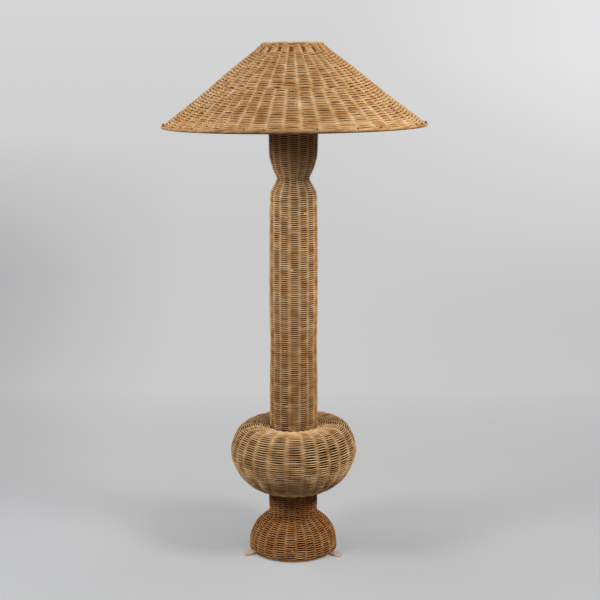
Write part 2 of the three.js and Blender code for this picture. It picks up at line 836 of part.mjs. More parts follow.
// Finishes
const finishes = {
  honeyReed: { color: 0xaa865d, roughness: 0.62, metalness: 0 },
  amberReed: { color: 0x89673f, roughness: 0.62, metalness: 0 },
  tanReed: { color: 0x7f5e3e, roughness: 0.64, metalness: 0 },
  redReed: { color: 0x714c2e, roughness: 0.64, metalness: 0 },
  paleWood: { color: 0xb39a86, roughness: 0.7, metalness: 0 },
  ironRod: { color: 0x3a332d, roughness: 0.6, metalness: 0.8 },
  castIron: { color: 0x35353a, roughness: 0.7, metalness: 0.8 },
  zincSteel: { color: 0x9a9c9e, roughness: 0.4, metalness: 0.9 },
  brass: { color: 0xb08d4a, roughness: 0.32, metalness: 0.9 },
  fibre: { color: 0x6d5a44, roughness: 0.8, metalness: 0 },
  phenolic: { color: 0x1c1714, roughness: 0.45, metalness: 0 },
  opalGlass: { color: 0xf3efe6, roughness: 0.25, metalness: 0 },
};

const lamp = new THREE.Group();

function place(parent, name, geometry, finish, height = 0) {
  const mesh = new THREE.Mesh(geometry, new THREE.MeshStandardMaterial(finishes[finish]));
  mesh.name = name;
  mesh.position.z = height;
  parent.add(mesh);
  return mesh;
}

function addStandSkins() {
  place(lamp, 'base_weave', baseWeave(), 'redReed');
  place(lamp, 'bulb_weave', bulbWeave(), 'tanReed');
  place(lamp, 'column_weave', columnWeave(), 'amberReed');
  place(lamp, 'cup_weave', cupWeave(), 'amberReed');
}

function addStandFrames() {
  place(lamp, 'base_frame', baseFrame(), 'ironRod');
  place(lamp, 'bulb_frame', bulbFrame(), 'ironRod');
  place(lamp, 'column_frame', columnFrame(), 'ironRod');
}

function addFeet() {
  for (const [side, degrees] of Object.entries(footAngles)) {
    const arm = new THREE.Group();
    arm.rotation.z = THREE.MathUtils.degToRad(degrees);
    place(arm, `foot_${side}`, foot(), 'paleWood');
    place(arm, `foot_screw_${side}`, footScrew(), 'zincSteel');
    lamp.add(arm);
  }
}

function addStem() {
  place(lamp, 'ballast_plate', ballastPlate(), 'castIron', ballastZ);
  place(lamp, 'stem_pipe', stemPipe(), 'zincSteel');
  place(lamp, 'base_washer', baseWasher(), 'zincSteel', washerZ);
  place(lamp, 'base_nut', hexNut(nutHeight), 'zincSteel', baseNutZ);
  place(lamp, 'junction_plate_lower', junctionPlate(neckBore - gap), 'ironRod', lowerPlateZ);
  place(lamp, 'junction_plate_upper', junctionPlate(columnBore - gap), 'ironRod', upperPlateZ);
  place(lamp, 'cup_plate', junctionPlate(cupRadius), 'ironRod', cupPlateZ);
  place(lamp, 'top_nut', hexNut(topNutHeight), 'brass', topNutZ);
  place(lamp, 'cord_bushing', cordBushing(), 'phenolic', rimZ + bushingRise);
}

function addLampHolder() {
  const holder = new THREE.Group();
  holder.position.z = capZ;
  place(holder, 'socket_cap', socketCap(), 'brass');
  place(holder, 'socket_shell', socketShell(), 'brass');
  place(holder, 'insulating_sleeve', insulatingSleeve(), 'fibre');
  place(holder, 'socket_interior', socketInterior(), 'phenolic');
  place(holder, 'screw_shell', screwShell(), 'brass');
  place(holder, 'centre_contact', centreContact(), 'brass');
  place(holder, 'switch_knob', switchKnob(), 'phenolic');
  place(holder, 'bulb_cap', bulbCap(), 'zincSteel', bulbTipZ);
  place(holder, 'bulb_glass', globe(), 'opalGlass', bulbTipZ);
  lamp.add(holder);
}

function addHarp() {
  const support = new THREE.Group();
  support.position.z = saddleTopZ;
  place(support, 'harp_saddle', harpSaddle(), 'brass');
  place(support, 'harp', harp(), 'brass');
  for (const [side, sign] of Object.entries({ left: -1, right: 1 })) {
    const piece = place(support, `ferrule_${side}`, ferrule(), 'brass', saddleArmHeight + gap);
    piece.position.x = sign * saddleHalfSpan;
  }
  lamp.add(support);
}

function addShade() {
  place(lamp, 'shade_weave', shadeWeave(), 'honeyReed');
  place(lamp, 'shade_frame', shadeFrame(), 'ironRod');
  place(lamp, 'shade_spider', shadeSpider(), 'brass');
  place(lamp, 'finial', finial(), 'brass', finialZ);
}

addStandSkins();
addStandFrames();
addFeet();
addStem();
addLampHolder();
addHarp();
addShade();

export default lamp;
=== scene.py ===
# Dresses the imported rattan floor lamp: reed woven over stakes, borders, linings, feet, shade frame, harp,
# finial and light bulb. Metres, +Z up, front towards -Y. The heights and the wide radii come from the frame.

import math

import bpy
import numpy as np
from mathutils import Matrix, Vector


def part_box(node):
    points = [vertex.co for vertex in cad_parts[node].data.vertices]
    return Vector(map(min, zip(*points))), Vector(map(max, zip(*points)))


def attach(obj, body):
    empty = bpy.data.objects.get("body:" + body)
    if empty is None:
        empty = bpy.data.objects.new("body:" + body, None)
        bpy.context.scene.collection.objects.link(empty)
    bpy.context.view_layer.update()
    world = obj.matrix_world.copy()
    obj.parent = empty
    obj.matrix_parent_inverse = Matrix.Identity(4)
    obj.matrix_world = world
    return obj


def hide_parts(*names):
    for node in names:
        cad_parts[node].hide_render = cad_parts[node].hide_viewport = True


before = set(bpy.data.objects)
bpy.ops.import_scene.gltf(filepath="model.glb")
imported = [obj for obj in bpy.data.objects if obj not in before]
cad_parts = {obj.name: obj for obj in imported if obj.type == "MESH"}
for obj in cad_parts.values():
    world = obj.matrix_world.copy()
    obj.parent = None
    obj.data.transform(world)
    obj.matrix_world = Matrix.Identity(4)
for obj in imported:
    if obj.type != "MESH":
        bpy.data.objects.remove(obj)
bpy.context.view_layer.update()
MM = 0.001
TURN = 2 * math.pi


# Places that the frame gives
def low_of(node):
    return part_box(node)[0]


def high_of(node):
    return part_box(node)[1]


def middle_of(node):
    return (low_of(node) + high_of(node)) / 2


def radius_of(node):
    high = high_of(node)
    return max(high.x, high.y)


RIM_Z = low_of("base_weave").z
NECK_TOP_Z = high_of("base_weave").z
BELLY_TOP_Z = low_of("column_weave").z
PINCH_Z = high_of("column_weave").z
CUP_TOP_Z = high_of("cup_weave").z
SHADE_RIM_Z = low_of("shade_weave").z
SHADE_TOP_Z = high_of("shade_weave").z
BASE_RADIUS = radius_of("base_weave")
BELLY_RADIUS = radius_of("bulb_weave")
COLUMN_RADIUS = radius_of("column_weave")
CUP_RADIUS = radius_of("cup_weave")
SHADE_RIM_RADIUS = radius_of("shade_weave")

# Sizes that the boxes of the frame don't give
NECK_RADIUS = 79 * MM
PINCH_RADIUS = 52 * MM
SHADE_TOP_RADIUS = 96 * MM
DOME_HEIGHT = 113.2 * MM

# Outlines, as shares [between the narrow and the wide radius, of the height]
DOME_SHARES = [
    (1, 0), (0.992, 0.18), (0.936, 0.38), (0.784, 0.575), (0.528, 0.752), (0.224, 0.894), (0, 1.02),
]
BELLY_LOWER_SHARES = [(0, 0), (0.295, 0.033), (0.51, 0.1), (0.695, 0.194), (0.869, 0.336), (0.98, 0.498)]
BELLY_UPPER_SHARES = [
    (1, 0.654), (0.94, 0.8), (0.812, 0.938), (0.628, 1.02), (0.388, 1.04), (0.188, 1.025), (0, 1),
]

# The column is nearly straight, a little drawn in a third of the way up, with a round shoulder at its top
COLUMN_SHARES = [(1, 0), (1.01, 0.17), (0.98, 0.33), (1.01, 0.47), (1.005, 0.75), (0.985, 0.9)]
SHOULDER_SHARES = [(0.96, 0.94), (0.88, 0.96), (0.74, 0.985)]
CUP_SHARES = [(0, 0), (0.45, 0.15), (0.76, 0.289), (0.98, 0.42), (1.06, 0.56), (1.09, 0.8), (1.12, 1)]

# The shade's slope is nearly straight: a little full over the rim and a little hollow under the top
SHADE_SHARES = [(1, 0.022), (0.9, 0.12), (0.6, 0.4), (0.3, 0.7), (0.1, 0.885), (-0.01, 1)]
SHADE_TILT = math.radians(0.62)
SHADE_LEAN = 0.011

# The stand is hand-made: its foot and its cup sit a little to the left of the column, by these
# millimetres at these heights, and the top of the belly is higher on the right by this share
LEAN = [(0, -2.8), (0.2, -2.8), (0.3, -1.5), (0.42, -0.4), (1.15, -0.6), (1.2, -1.6), (1.36, -0.8)]
BELLY_SLOPE = 0.02

# Stakes: how many, where one stands in degrees round from the front, and how they sway from even places:
# by how many degrees, in how many waves round the weave, and where the waves start
COLUMN_STAKES = (15, 2, 1.5, 5, 30)
BELLY_STAKES = (25, -0.5, 2.8, 4, 60)
BASE_STAKES = (25, -4, 1.8, 4, 70)
SHADE_LOW_STAKES = (52, 2, 2.8, 3, -60)
SHADE_HIGH_STAKES = (40, -1.5, 1.2, 4, -20)

# Reeds in millimetres: half the thickness and half the height of a weaver, half the width of a stake,
# and the height of a row
BASE_SIZES = (1.7, 1.75, 1.6, 3.6)
BELLY_SIZES = (1.8, 1.78, 1.7, 3.7)
COLUMN_SIZES = (1.6, 1.55, 1.6, 3.25)
SHADE_SIZES = (2.5, 3.75, 1.3, 5.2)

# A strand has this many points from one stake to the next
BAY_STEPS = 4


def spread(shares, narrow, wide, height, start):
    return [(narrow + across * (wide - narrow), start + up * height) for across, up in shares]


# Colours are written as they show on a screen
def colour(red, green, blue):
    def linear(value):
        share = value / 255
        return share / 12.92 if share <= 0.04045 else ((share + 0.055) / 1.055) ** 2.4

    return (linear(red), linear(green), linear(blue), 1)


# Shader trees
class Tree:
    def __init__(self, tree):
        self.tree = tree
        tree.nodes.clear()

    def add(self, kind, settings=None, inputs=None):
        node = self.tree.nodes.new(kind)
        for name, value in (settings or {}).items():
            setattr(node, name, value)
        for key, value in (inputs or {}).items():
            if isinstance(value, bpy.types.NodeSocket):
                self.tree.links.new(value, node.inputs[key])
            else:
                node.inputs[key].default_value = value
        return node

    def link(self, value, socket):
        self.tree.links.new(value, socket)

    def math(self, operation, first, second):
        return self.add("ShaderNodeMath", {"operation": operation}, {0: first, 1: second}).outputs[0]

    def mix(self, share, first, second):
        return self.add("ShaderNodeMix", {"data_type": "RGBA"}, {0: share, 6: first, 7: second}).outputs[2]

    def part_mix(self, value, most, first, second):
        return self.mix(self.math("MULTIPLY", value, most), first, second)

    def noise(self, place, scale, detail=3.0, roughness=0.55):
        inputs = {"Vector": place, "Scale": scale, "Detail": detail, "Roughness": roughness}
        return self.add("ShaderNodeTexNoise", None, inputs).outputs[0]

    def spread(self, value, low, high, to_low=0.0, to_high=1.0):
        inputs = {"Value": value, "From Min": low, "From Max": high, "To Min": to_low, "To Max": to_high}
        return self.add("ShaderNodeMapRange", {"clamp": True}, inputs).outputs[0]

    def stretch(self, place, scale):
        return self.add("ShaderNodeMapping", None, {"Vector": place, "Scale": scale}).outputs[0]

    def bump(self, height, strength, distance):
        inputs = {"Height": height, "Strength": strength, "Distance": distance}
        return self.add("ShaderNodeBump", None, inputs).outputs[0]

    def object_place(self):
        return self.add("ShaderNodeTexCoord").outputs["Object"]

    def group(self, group, inputs):
        return self.add("ShaderNodeGroup", {"node_tree": group}, inputs).outputs

    def age(self, size):
        return self.group(AGE, {"Place": self.object_place(), "Size": size})


def new_group(name, sockets_in, sockets_out):
    group = bpy.data.node_groups.new(name, "ShaderNodeTree")
    for socket, kind, value in sockets_in:
        made = group.interface.new_socket(socket, in_out="INPUT", socket_type=kind)
        if value is not None:
            made.default_value = value
    for socket in sockets_out:
        group.interface.new_socket(socket, in_out="OUTPUT", socket_type="NodeSocketFloat")
    tree = Tree(group)
    return group, tree, tree.add("NodeGroupInput").outputs, tree.add("NodeGroupOutput").inputs


# Fibres along a reed or a board: fine streaks and the slower colour change under them
def make_fibre_group():
    group, tree, given, result = new_group(
        "Fibres",
        [("Place", "NodeSocketVector", None), ("Fineness", "NodeSocketFloat", 1.0)],
        ["Streaks", "Drift", "Relief"],
    )
    inputs = {0: given["Place"], "Scale": given["Fineness"]}
    place = tree.add("ShaderNodeVectorMath", {"operation": "SCALE"}, inputs).outputs[0]
    fine = tree.noise(tree.stretch(place, (30, 9, 1)), 1.0, 4.0, 0.7)
    slow = tree.noise(tree.stretch(place, (9, 0.7, 1)), 1.0, 2.0)
    tree.link(tree.spread(fine, 0.32, 0.7), result["Streaks"])
    tree.link(tree.spread(slow, 0.3, 0.7), result["Drift"])
    tree.link(fine, result["Relief"])
    return group


# Handling and age: soft blotches over a whole piece and small marks
def make_age_group():
    group, tree, given, result = new_group(
        "Age",
        [("Place", "NodeSocketVector", None), ("Size", "NodeSocketFloat", 12.0)],
        ["Blotches", "Marks", "Relief"],
    )
    blotches = tree.noise(given["Place"], given["Size"], 3.0)
    small = tree.noise(given["Place"], tree.math("MULTIPLY", given["Size"], 22.0), 3.0, 0.7)
    tree.link(tree.spread(blotches, 0.35, 0.68), result["Blotches"])
    tree.link(tree.spread(small, 0.56, 0.72), result["Marks"])
    tree.link(small, result["Relief"])
    return group


FIBRES = make_fibre_group()
AGE = make_age_group()


def new_material(name):
    made = bpy.data.materials.new(name)
    made.use_nodes = True
    tree = Tree(made.node_tree)
    shader = tree.add("ShaderNodeBsdfPrincipled")
    tree.add("ShaderNodeOutputMaterial", None, {"Surface": shader.outputs[0]})
    return made, tree, shader


# Reed: each weaver's own tone comes from the strand, fibres run along it. The strand's third tint channel paints
# shade: it mixes in the last colour, the painted shade of the gaps
def reed_material(name, dark, middle, pale, red, gap_shade, gloss=0.45):
    made, tree, shader = new_material(name)
    tint = tree.add("ShaderNodeAttribute", {"attribute_name": "tint"})
    parts = tree.add("ShaderNodeSeparateColor", None, {"Color": tint.outputs["Color"]}).outputs
    tone, warmth, painted_shade, polish = parts[0], parts[1], parts[2], tint.outputs["Alpha"]
    strand = tree.add("ShaderNodeUVMap", {"uv_map": "strand"}).outputs[0]
    fibres = tree.group(FIBRES, {"Place": strand})
    age = tree.age(9.0)
    ramp = tree.add("ShaderNodeValToRGB", None, {"Fac": tone})
    stops = ramp.color_ramp.elements
    stops[0].color, stops[0].position = dark, 0.0
    stops[1].color, stops[1].position = pale, 1.0
    stops.new(0.5).color = middle
    base = tree.part_mix(warmth, 0.75, ramp.outputs[0], red)
    streaked = tree.part_mix(fibres["Streaks"], 0.22, base, dark)
    drifted = tree.part_mix(fibres["Drift"], 0.2, streaked, pale)
    aged = tree.part_mix(age["Blotches"], 0.16, drifted, dark)
    marked = tree.part_mix(age["Marks"], 0.25, aged, dark)
    # Painted shade: the colour goes to the gap-shade colour where the strand dips behind a stake or faces down
    shaded_colour = tree.part_mix(painted_shade, 0.96, marked, gap_shade)
    tree.link(shaded_colour, shader.inputs["Base Color"])
    rough = tree.spread(fibres["Relief"], 0.2, 0.8, 0.5, 0.68)
    tree.link(rough, shader.inputs["Roughness"])
    tree.link(tree.bump(fibres["Relief"], 0.35, 0.0004), shader.inputs["Normal"])
    tree.link(tree.math("MULTIPLY", polish, gloss), shader.inputs["Coat Weight"])
    shader.inputs["Coat Roughness"].default_value = 0.07
    shader.inputs["Specular IOR Level"].default_value = 0.0
    return made


def metal_material(name, pale, dark, roughness, relief=0.15, size=18.0, metallic=1.0):
    made, tree, shader = new_material(name)
    age = tree.age(size)
    aged = tree.part_mix(age["Blotches"], 0.45, pale, dark)
    marked = tree.part_mix(age["Marks"], 0.4, aged, dark)
    tree.link(marked, shader.inputs["Base Color"])
    rough = tree.spread(age["Blotches"], 0, 1, roughness, roughness + 0.18)
    tree.link(rough, shader.inputs["Roughness"])
    tree.link(tree.bump(age["Relief"], relief, 0.0003), shader.inputs["Normal"])
    shader.inputs["Metallic"].default_value = metallic
    return made


def board_material(name, pale, dark, roughness):
    made, tree, shader = new_material(name)
    place = tree.stretch(tree.object_place(), (0.35, 9, 9))
    fibres = tree.group(FIBRES, {"Place": place, "Fineness": 6.0})
    age = tree.age(25.0)
    grained = tree.part_mix(fibres["Streaks"], 0.45, pale, dark)
    aged = tree.part_mix(age["Blotches"], 0.3, grained, dark)
    tree.link(aged, shader.inputs["Base Color"])
    rough = tree.spread(fibres["Relief"], 0.2, 0.8, roughness, roughness + 0.15)
    tree.link(rough, shader.inputs["Roughness"])
    tree.link(tree.bump(fibres["Relief"], 0.4, 0.0005), shader.inputs["Normal"])
    return made


def glass_material(name, shade):
    made, tree, shader = new_material(name)
    age = tree.age(30.0)
    dusty = tree.part_mix(age["Blotches"], 0.12, shade, colour(205, 196, 180))
    tree.link(dusty, shader.inputs["Base Color"])
    rough = tree.spread(age["Blotches"], 0, 1, 0.12, 0.22)
    tree.link(rough, shader.inputs["Roughness"])
    shader.inputs["Subsurface Weight"].default_value = 0.35
    shader.inputs["Subsurface Radius"].default_value = (0.01, 0.01, 0.01)
    return made


# The last colour of each reed is the painted shade of its gaps and of the weavers' sides behind the stakes
shade_reed = reed_material(
    "Honey reed",
    colour(114, 74, 32),
    colour(170, 139, 98),
    colour(200, 177, 142),
    colour(150, 98, 48),
    colour(108, 62, 22),
)
column_reed = reed_material(
    "Amber reed",
    colour(104, 56, 18),
    colour(191, 155, 104),
    colour(232, 203, 160),
    colour(164, 96, 42),
    colour(50, 18, 2),
)
belly_reed = reed_material(
    "Tan reed",
    colour(92, 46, 8),
    colour(176, 140, 92),
    colour(217, 187, 144),
    colour(148, 92, 46),
    colour(46, 14, 1),
)
base_reed = reed_material(
    "Chestnut reed",
    colour(90, 46, 14),
    colour(157, 112, 65),
    colour(200, 158, 108),
    colour(150, 84, 38),
    colour(46, 15, 2),
)
shade_lining = board_material("Painted shade lining", colour(46, 18, 4), colour(28, 11, 2), 0.9)
pale_wood = board_material("Raw pale wood", colour(180, 153, 132), colour(110, 78, 56), 0.62)
dark_iron = metal_material("Brown lacquered iron", colour(70, 60, 52), colour(42, 32, 26), 0.5, 0.3, 14.0, 0.6)
cast_iron = metal_material("Cast iron", colour(62, 60, 60), colour(34, 32, 32), 0.62, 0.8, 30.0, 0.7)
zinc = metal_material("Zinc plate", colour(186, 188, 190), colour(128, 130, 134), 0.3)
brass = metal_material("Satin brass", colour(206, 168, 98), colour(142, 104, 52), 0.26)
aluminium = metal_material("Satin aluminium", colour(204, 204, 204), colour(150, 150, 150), 0.32)
fibre_board = board_material("Pressed fibre", colour(132, 108, 82), colour(88, 70, 52), 0.75)
resin = metal_material("Dark moulded resin", colour(34, 28, 25), colour(20, 16, 14), 0.34, 0.2, 20.0, 0.0)
opal_glass = glass_material("Opal glass", colour(243, 240, 232))


def new_object(name, data):
    made = bpy.data.objects.new(name, data)
    bpy.context.scene.collection.objects.link(made)
    return made


def select_only(*pieces):
    bpy.ops.object.select_all(action="DESELECT")
    for piece in pieces:
        piece.select_set(True)
    bpy.context.view_layer.objects.active = pieces[0]


# Changes the points of a piece that this script has made, by a function of all of them
def move_points(piece, change):
    points = np.array([v.co for v in piece.data.vertices])
    piece.data.vertices.foreach_set("co", change(points).ravel())
    piece.data.update()


def lengths_along(path):
    return np.concatenate([[0], np.cumsum(np.linalg.norm(np.diff(path, axis=0), axis=1))])


# Weaving: a smooth outline with its own length, an outward side and places along it
class Outline:
    def __init__(self, points, step=1.5 * MM):
        path = np.array(points, float)
        ends = np.vstack([2 * path[0] - path[1], path, 2 * path[-1] - path[-2]])
        pieces = []
        for before, start, end, after in zip(ends, ends[1:], ends[2:], ends[3:]):
            t = np.linspace(0, 1, 40, endpoint=False)[:, None]
            pieces.append(
                start
                + 0.5 * t * (end - before)
                + t**2 * (before - 2.5 * start + 2 * end - 0.5 * after)
                + t**3 * (1.5 * (start - end) + 0.5 * (after - before))
            )
        dense = np.vstack([*pieces, path[-1:]])
        length = np.concatenate([[0], np.cumsum(np.hypot(*np.diff(dense, axis=0).T))])
        count = int(length[-1] / step) + 2
        self.places = np.linspace(0, length[-1], count)
        self.points = np.column_stack([np.interp(self.places, length, dense[:, i]) for i in (0, 1)])
        slope = np.gradient(self.points, self.places, axis=0)
        slope /= np.hypot(*slope.T)[:, None]
        near = int(8 * MM / step)
        turned = np.column_stack([slope[:, 1], -slope[:, 0]])
        padded = np.pad(turned, ((near, near), (0, 0)), "edge")
        self.outward = sum(padded[i : i + count] for i in range(2 * near + 1))
        self.outward /= np.hypot(*self.outward.T)[:, None]
        self.length = length[-1]

    def at(self, place, depth):
        radius, height = (np.interp(place, self.places, self.points[:, i]) for i in (0, 1))
        out_r, out_z = (np.interp(place, self.places, self.outward[:, i]) for i in (0, 1))
        return radius - depth * out_r, height - depth * out_z, out_r, out_z


def around(angle, radius, height):
    return np.stack([radius * np.cos(angle), radius * np.sin(angle), height + 0 * angle], -1)


# A mesh that collects strands, each with its tint, its own length and its row in the flat map
class Strands:
    def __init__(self, settle):
        self.points, self.faces, self.tints, self.strand, self.rows = [], [], [], [], []
        self.count = 0
        self.settle = settle

    def add(self, path, outward, thick, tall, sides, tint, closed=False, row_points=None, under=0.0):
        """A strand along path with an oval section, thick across the weave and tall along it."""
        total = len(path)
        ahead = np.roll(path, -1, 0) - np.roll(path, 1, 0)
        if not closed:
            ahead[0], ahead[-1] = path[1] - path[0], path[-1] - path[-2]
        ahead /= np.linalg.norm(ahead, axis=1)[:, None]
        out = outward - ahead * (outward * ahead).sum(1)[:, None]
        out /= np.linalg.norm(out, axis=1)[:, None]
        up = np.cross(ahead, out)
        angle = np.arange(sides) / sides * TURN
        thick, tall = np.broadcast_to(thick, total), np.broadcast_to(tall, total)
        ring = (
            path[:, None]
            + np.cos(angle)[None, :, None] * (out * thick[:, None])[:, None]
            + np.sin(angle)[None, :, None] * (up * tall[:, None])[:, None]
        )
        steps = total if closed else total - 1
        first = np.arange(steps)[:, None] * sides + np.arange(sides)[None]
        beside = np.arange(steps)[:, None] * sides + (np.arange(sides)[None] + 1) % sides
        corner = np.stack([first, beside, beside + sides, first + sides], -1) % (total * sides)
        length = lengths_along(path)
        length = np.append(length, length[-1] + np.linalg.norm(path[0] - path[-1]))
        per_row = row_points or steps
        row = np.arange(steps) // per_row
        share = (np.arange(steps) % per_row) / per_row
        side_low = np.broadcast_to(np.arange(sides) / sides, (steps, sides))
        side_high = side_low + 1 / sides
        low_u = np.broadcast_to(length[:steps, None], (steps, sides))
        high_u = np.broadcast_to(length[1 : steps + 1, None], (steps, sides))
        strand = [low_u, side_low, low_u, side_high, high_u, side_high, high_u, side_low]
        self.strand.append(np.stack(strand, -1).reshape(-1, 4, 2))
        low_x = np.broadcast_to(share[:, None], (steps, sides))
        high_x = low_x + 1 / per_row
        base = self.rows[-1].max() if self.rows else 0.0
        base = math.ceil(base - 1e-6)
        low_y = base + row[:, None] + side_low
        high_y = base + row[:, None] + side_high
        flat = [low_x, low_y, low_x, high_y, high_x, high_y, high_x, low_y]
        self.rows.append(np.stack(flat, -1).reshape(-1, 4, 2))
        self.faces.append(corner.reshape(-1, 4) + self.count)
        self.points.append(ring.reshape(-1, 3))
        tints = np.repeat(np.broadcast_to(tint, (total, 4)), sides, 0)
        # The painted shade lies on the strand's outward half only, so that its inward side stays light
        tints[:, 2] *= np.tile(np.clip(0.6 + 0.8 * np.cos(angle), 0, 1), total)
        tints[:, 3] *= np.tile(np.clip(1.7 * np.cos(angle) - 0.5, 0, 1), total)
        # Painted shade on the strand's underside, as strong as under asks for
        underside_shade = under * np.tile(np.clip(-1.6 * np.sin(angle) - 0.5, 0, 1), total)
        tints[:, 2] = np.maximum(tints[:, 2], underside_shade)
        self.tints.append(tints)
        self.count += total * sides
        return self

    def build(self, name, material, body, slot, *nodes):
        faces = np.concatenate(self.faces)
        mesh = bpy.data.meshes.new(name)
        mesh.from_pydata(self.settle(np.concatenate(self.points)).tolist(), [], faces.tolist())
        mesh.polygons.foreach_set("use_smooth", np.ones(len(faces), bool))
        tints = np.concatenate(self.tints)
        mesh.attributes.new("tint", "FLOAT_COLOR", "POINT").data.foreach_set("color", tints.ravel())
        rows = np.concatenate(self.rows).reshape(-1, 2)
        rows[:, 1] /= math.ceil(rows[:, 1].max())
        mesh.uv_layers.new(name="strand").data.foreach_set("uv", np.concatenate(self.strand).ravel())
        mesh.uv_layers.new(name="OFBake").data.foreach_set("uv", rows.ravel())
        return finish_piece(new_object(name, mesh), material, body, slot, *nodes)


def finish_piece(piece, material, body, slot, *nodes):
    piece.data.materials.clear()
    piece.data.materials.append(material)
    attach(piece, body)
    if nodes:
        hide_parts(*nodes)
    return piece


# The stakes of a hand-made weave draw together and apart in slow waves, counted from the back
def stand_stakes(count, front, sway, waves, start):
    even = (np.arange(count) - count // 2) / count * TURN
    swayed = math.radians(sway) * np.sin(waves * even + math.radians(start))
    return even + math.radians(front) + swayed - TURN / 4


def smooth(value, low, high):
    share = np.clip((value - low) / (high - low), 0, 1)
    return share * share * (3 - 2 * share)


# Tones of the weavers that follow each other along a row: each holds for one reed's length. The crest term and
# the third channel are painted light and shade
def weaver_tints(length, rng, reed_length, warm_share, over, tone_shift=0.0, crest=0.3, own=0.16):
    edges = np.cumsum(rng.uniform(0.6, 1.4, int(length[-1] / reed_length * 2) + 4) * reed_length)
    which = np.searchsorted(edges, length)
    count = len(edges) + 1
    tone = 0.5 + tone_shift + rng.normal(0, own, count)
    is_warm = rng.random(count) < warm_share
    warmth = np.where(is_warm, rng.uniform(0.3, 0.8, count), rng.uniform(0, 0.2, count))
    # The crest term makes a weaver paler or darker where it crosses over a stake: painted light and shade
    drift = 0.07 * np.sin(length / reed_length * 2.3 + which) + crest * (smooth(over, -0.2, 0.9) - 0.5)
    # Where a weaver dips behind a stake it takes the painted shade colour
    painted_shade = 1 - smooth(over, -0.6, 0.1)
    polish = 0.3 * smooth(over, -0.2, 0.6) + 0.7 * smooth(over, 0.6, 1)
    return np.column_stack([np.clip(tone[which] + drift, 0, 1), warmth[which], painted_shade, polish])


# The reed changes along the stand and the shade: height, then how much paler and how much redder. Part of it is
# painted light and shade: the neck under the belly is darker and redder, the belly's crown paler where light
# falls from above, and the cup in the shade's shadow paler and much redder, standing in for warm light bounced
# under the shade
BASE_TONES = [
    (0, -0.05, 0.25), (0.02, 0.08, 0.05), (0.1, 0.05, 0.05), (0.125, -0.15, 0.25), (0.2, -0.3, 0.35),
]
BELLY_TONES = [(0.2, 0.12, 0.35), (0.24, 0.06, 0.15), (0.3, 0, 0), (0.39, 0.1, 0), (0.42, 0.22, 0)]
COLUMN_TONES = [
    (0.4, -0.2, 0.3), (0.5, -0.12, 0.12), (0.8, 0, 0.05), (1.18, 0.15, 0), (1.22, 0.35, 0.5), (1.35, 0.5, 1),
]
SHADE_TONES = [(1.35, 0, 0), (1.5, 0, 0.03), (1.6, -0.1, 0.1)]


# How the hand-made parts sit off their true places
def lean(points):
    heights, shifts = np.array(LEAN).T
    points[:, 0] += np.interp(points[:, 2], heights, shifts * MM)
    return points


def lean_belly(points):
    points = lean(points)
    points[:, 2] += BELLY_SLOPE * points[:, 0] * smooth(points[:, 2], 0.33, 0.41)
    return points


def tilt_shade(points):
    hub = low_of("shade_spider").z
    across, up = points[:, 0].copy(), points[:, 2] - hub
    points[:, 0] = across * math.cos(SHADE_TILT) - up * math.sin(SHADE_TILT)
    points[:, 2] = hub + across * math.sin(SHADE_TILT) + up * math.cos(SHADE_TILT)
    points[:, 0] -= SHADE_LEAN * (points[:, 2] - SHADE_RIM_Z)
    return points
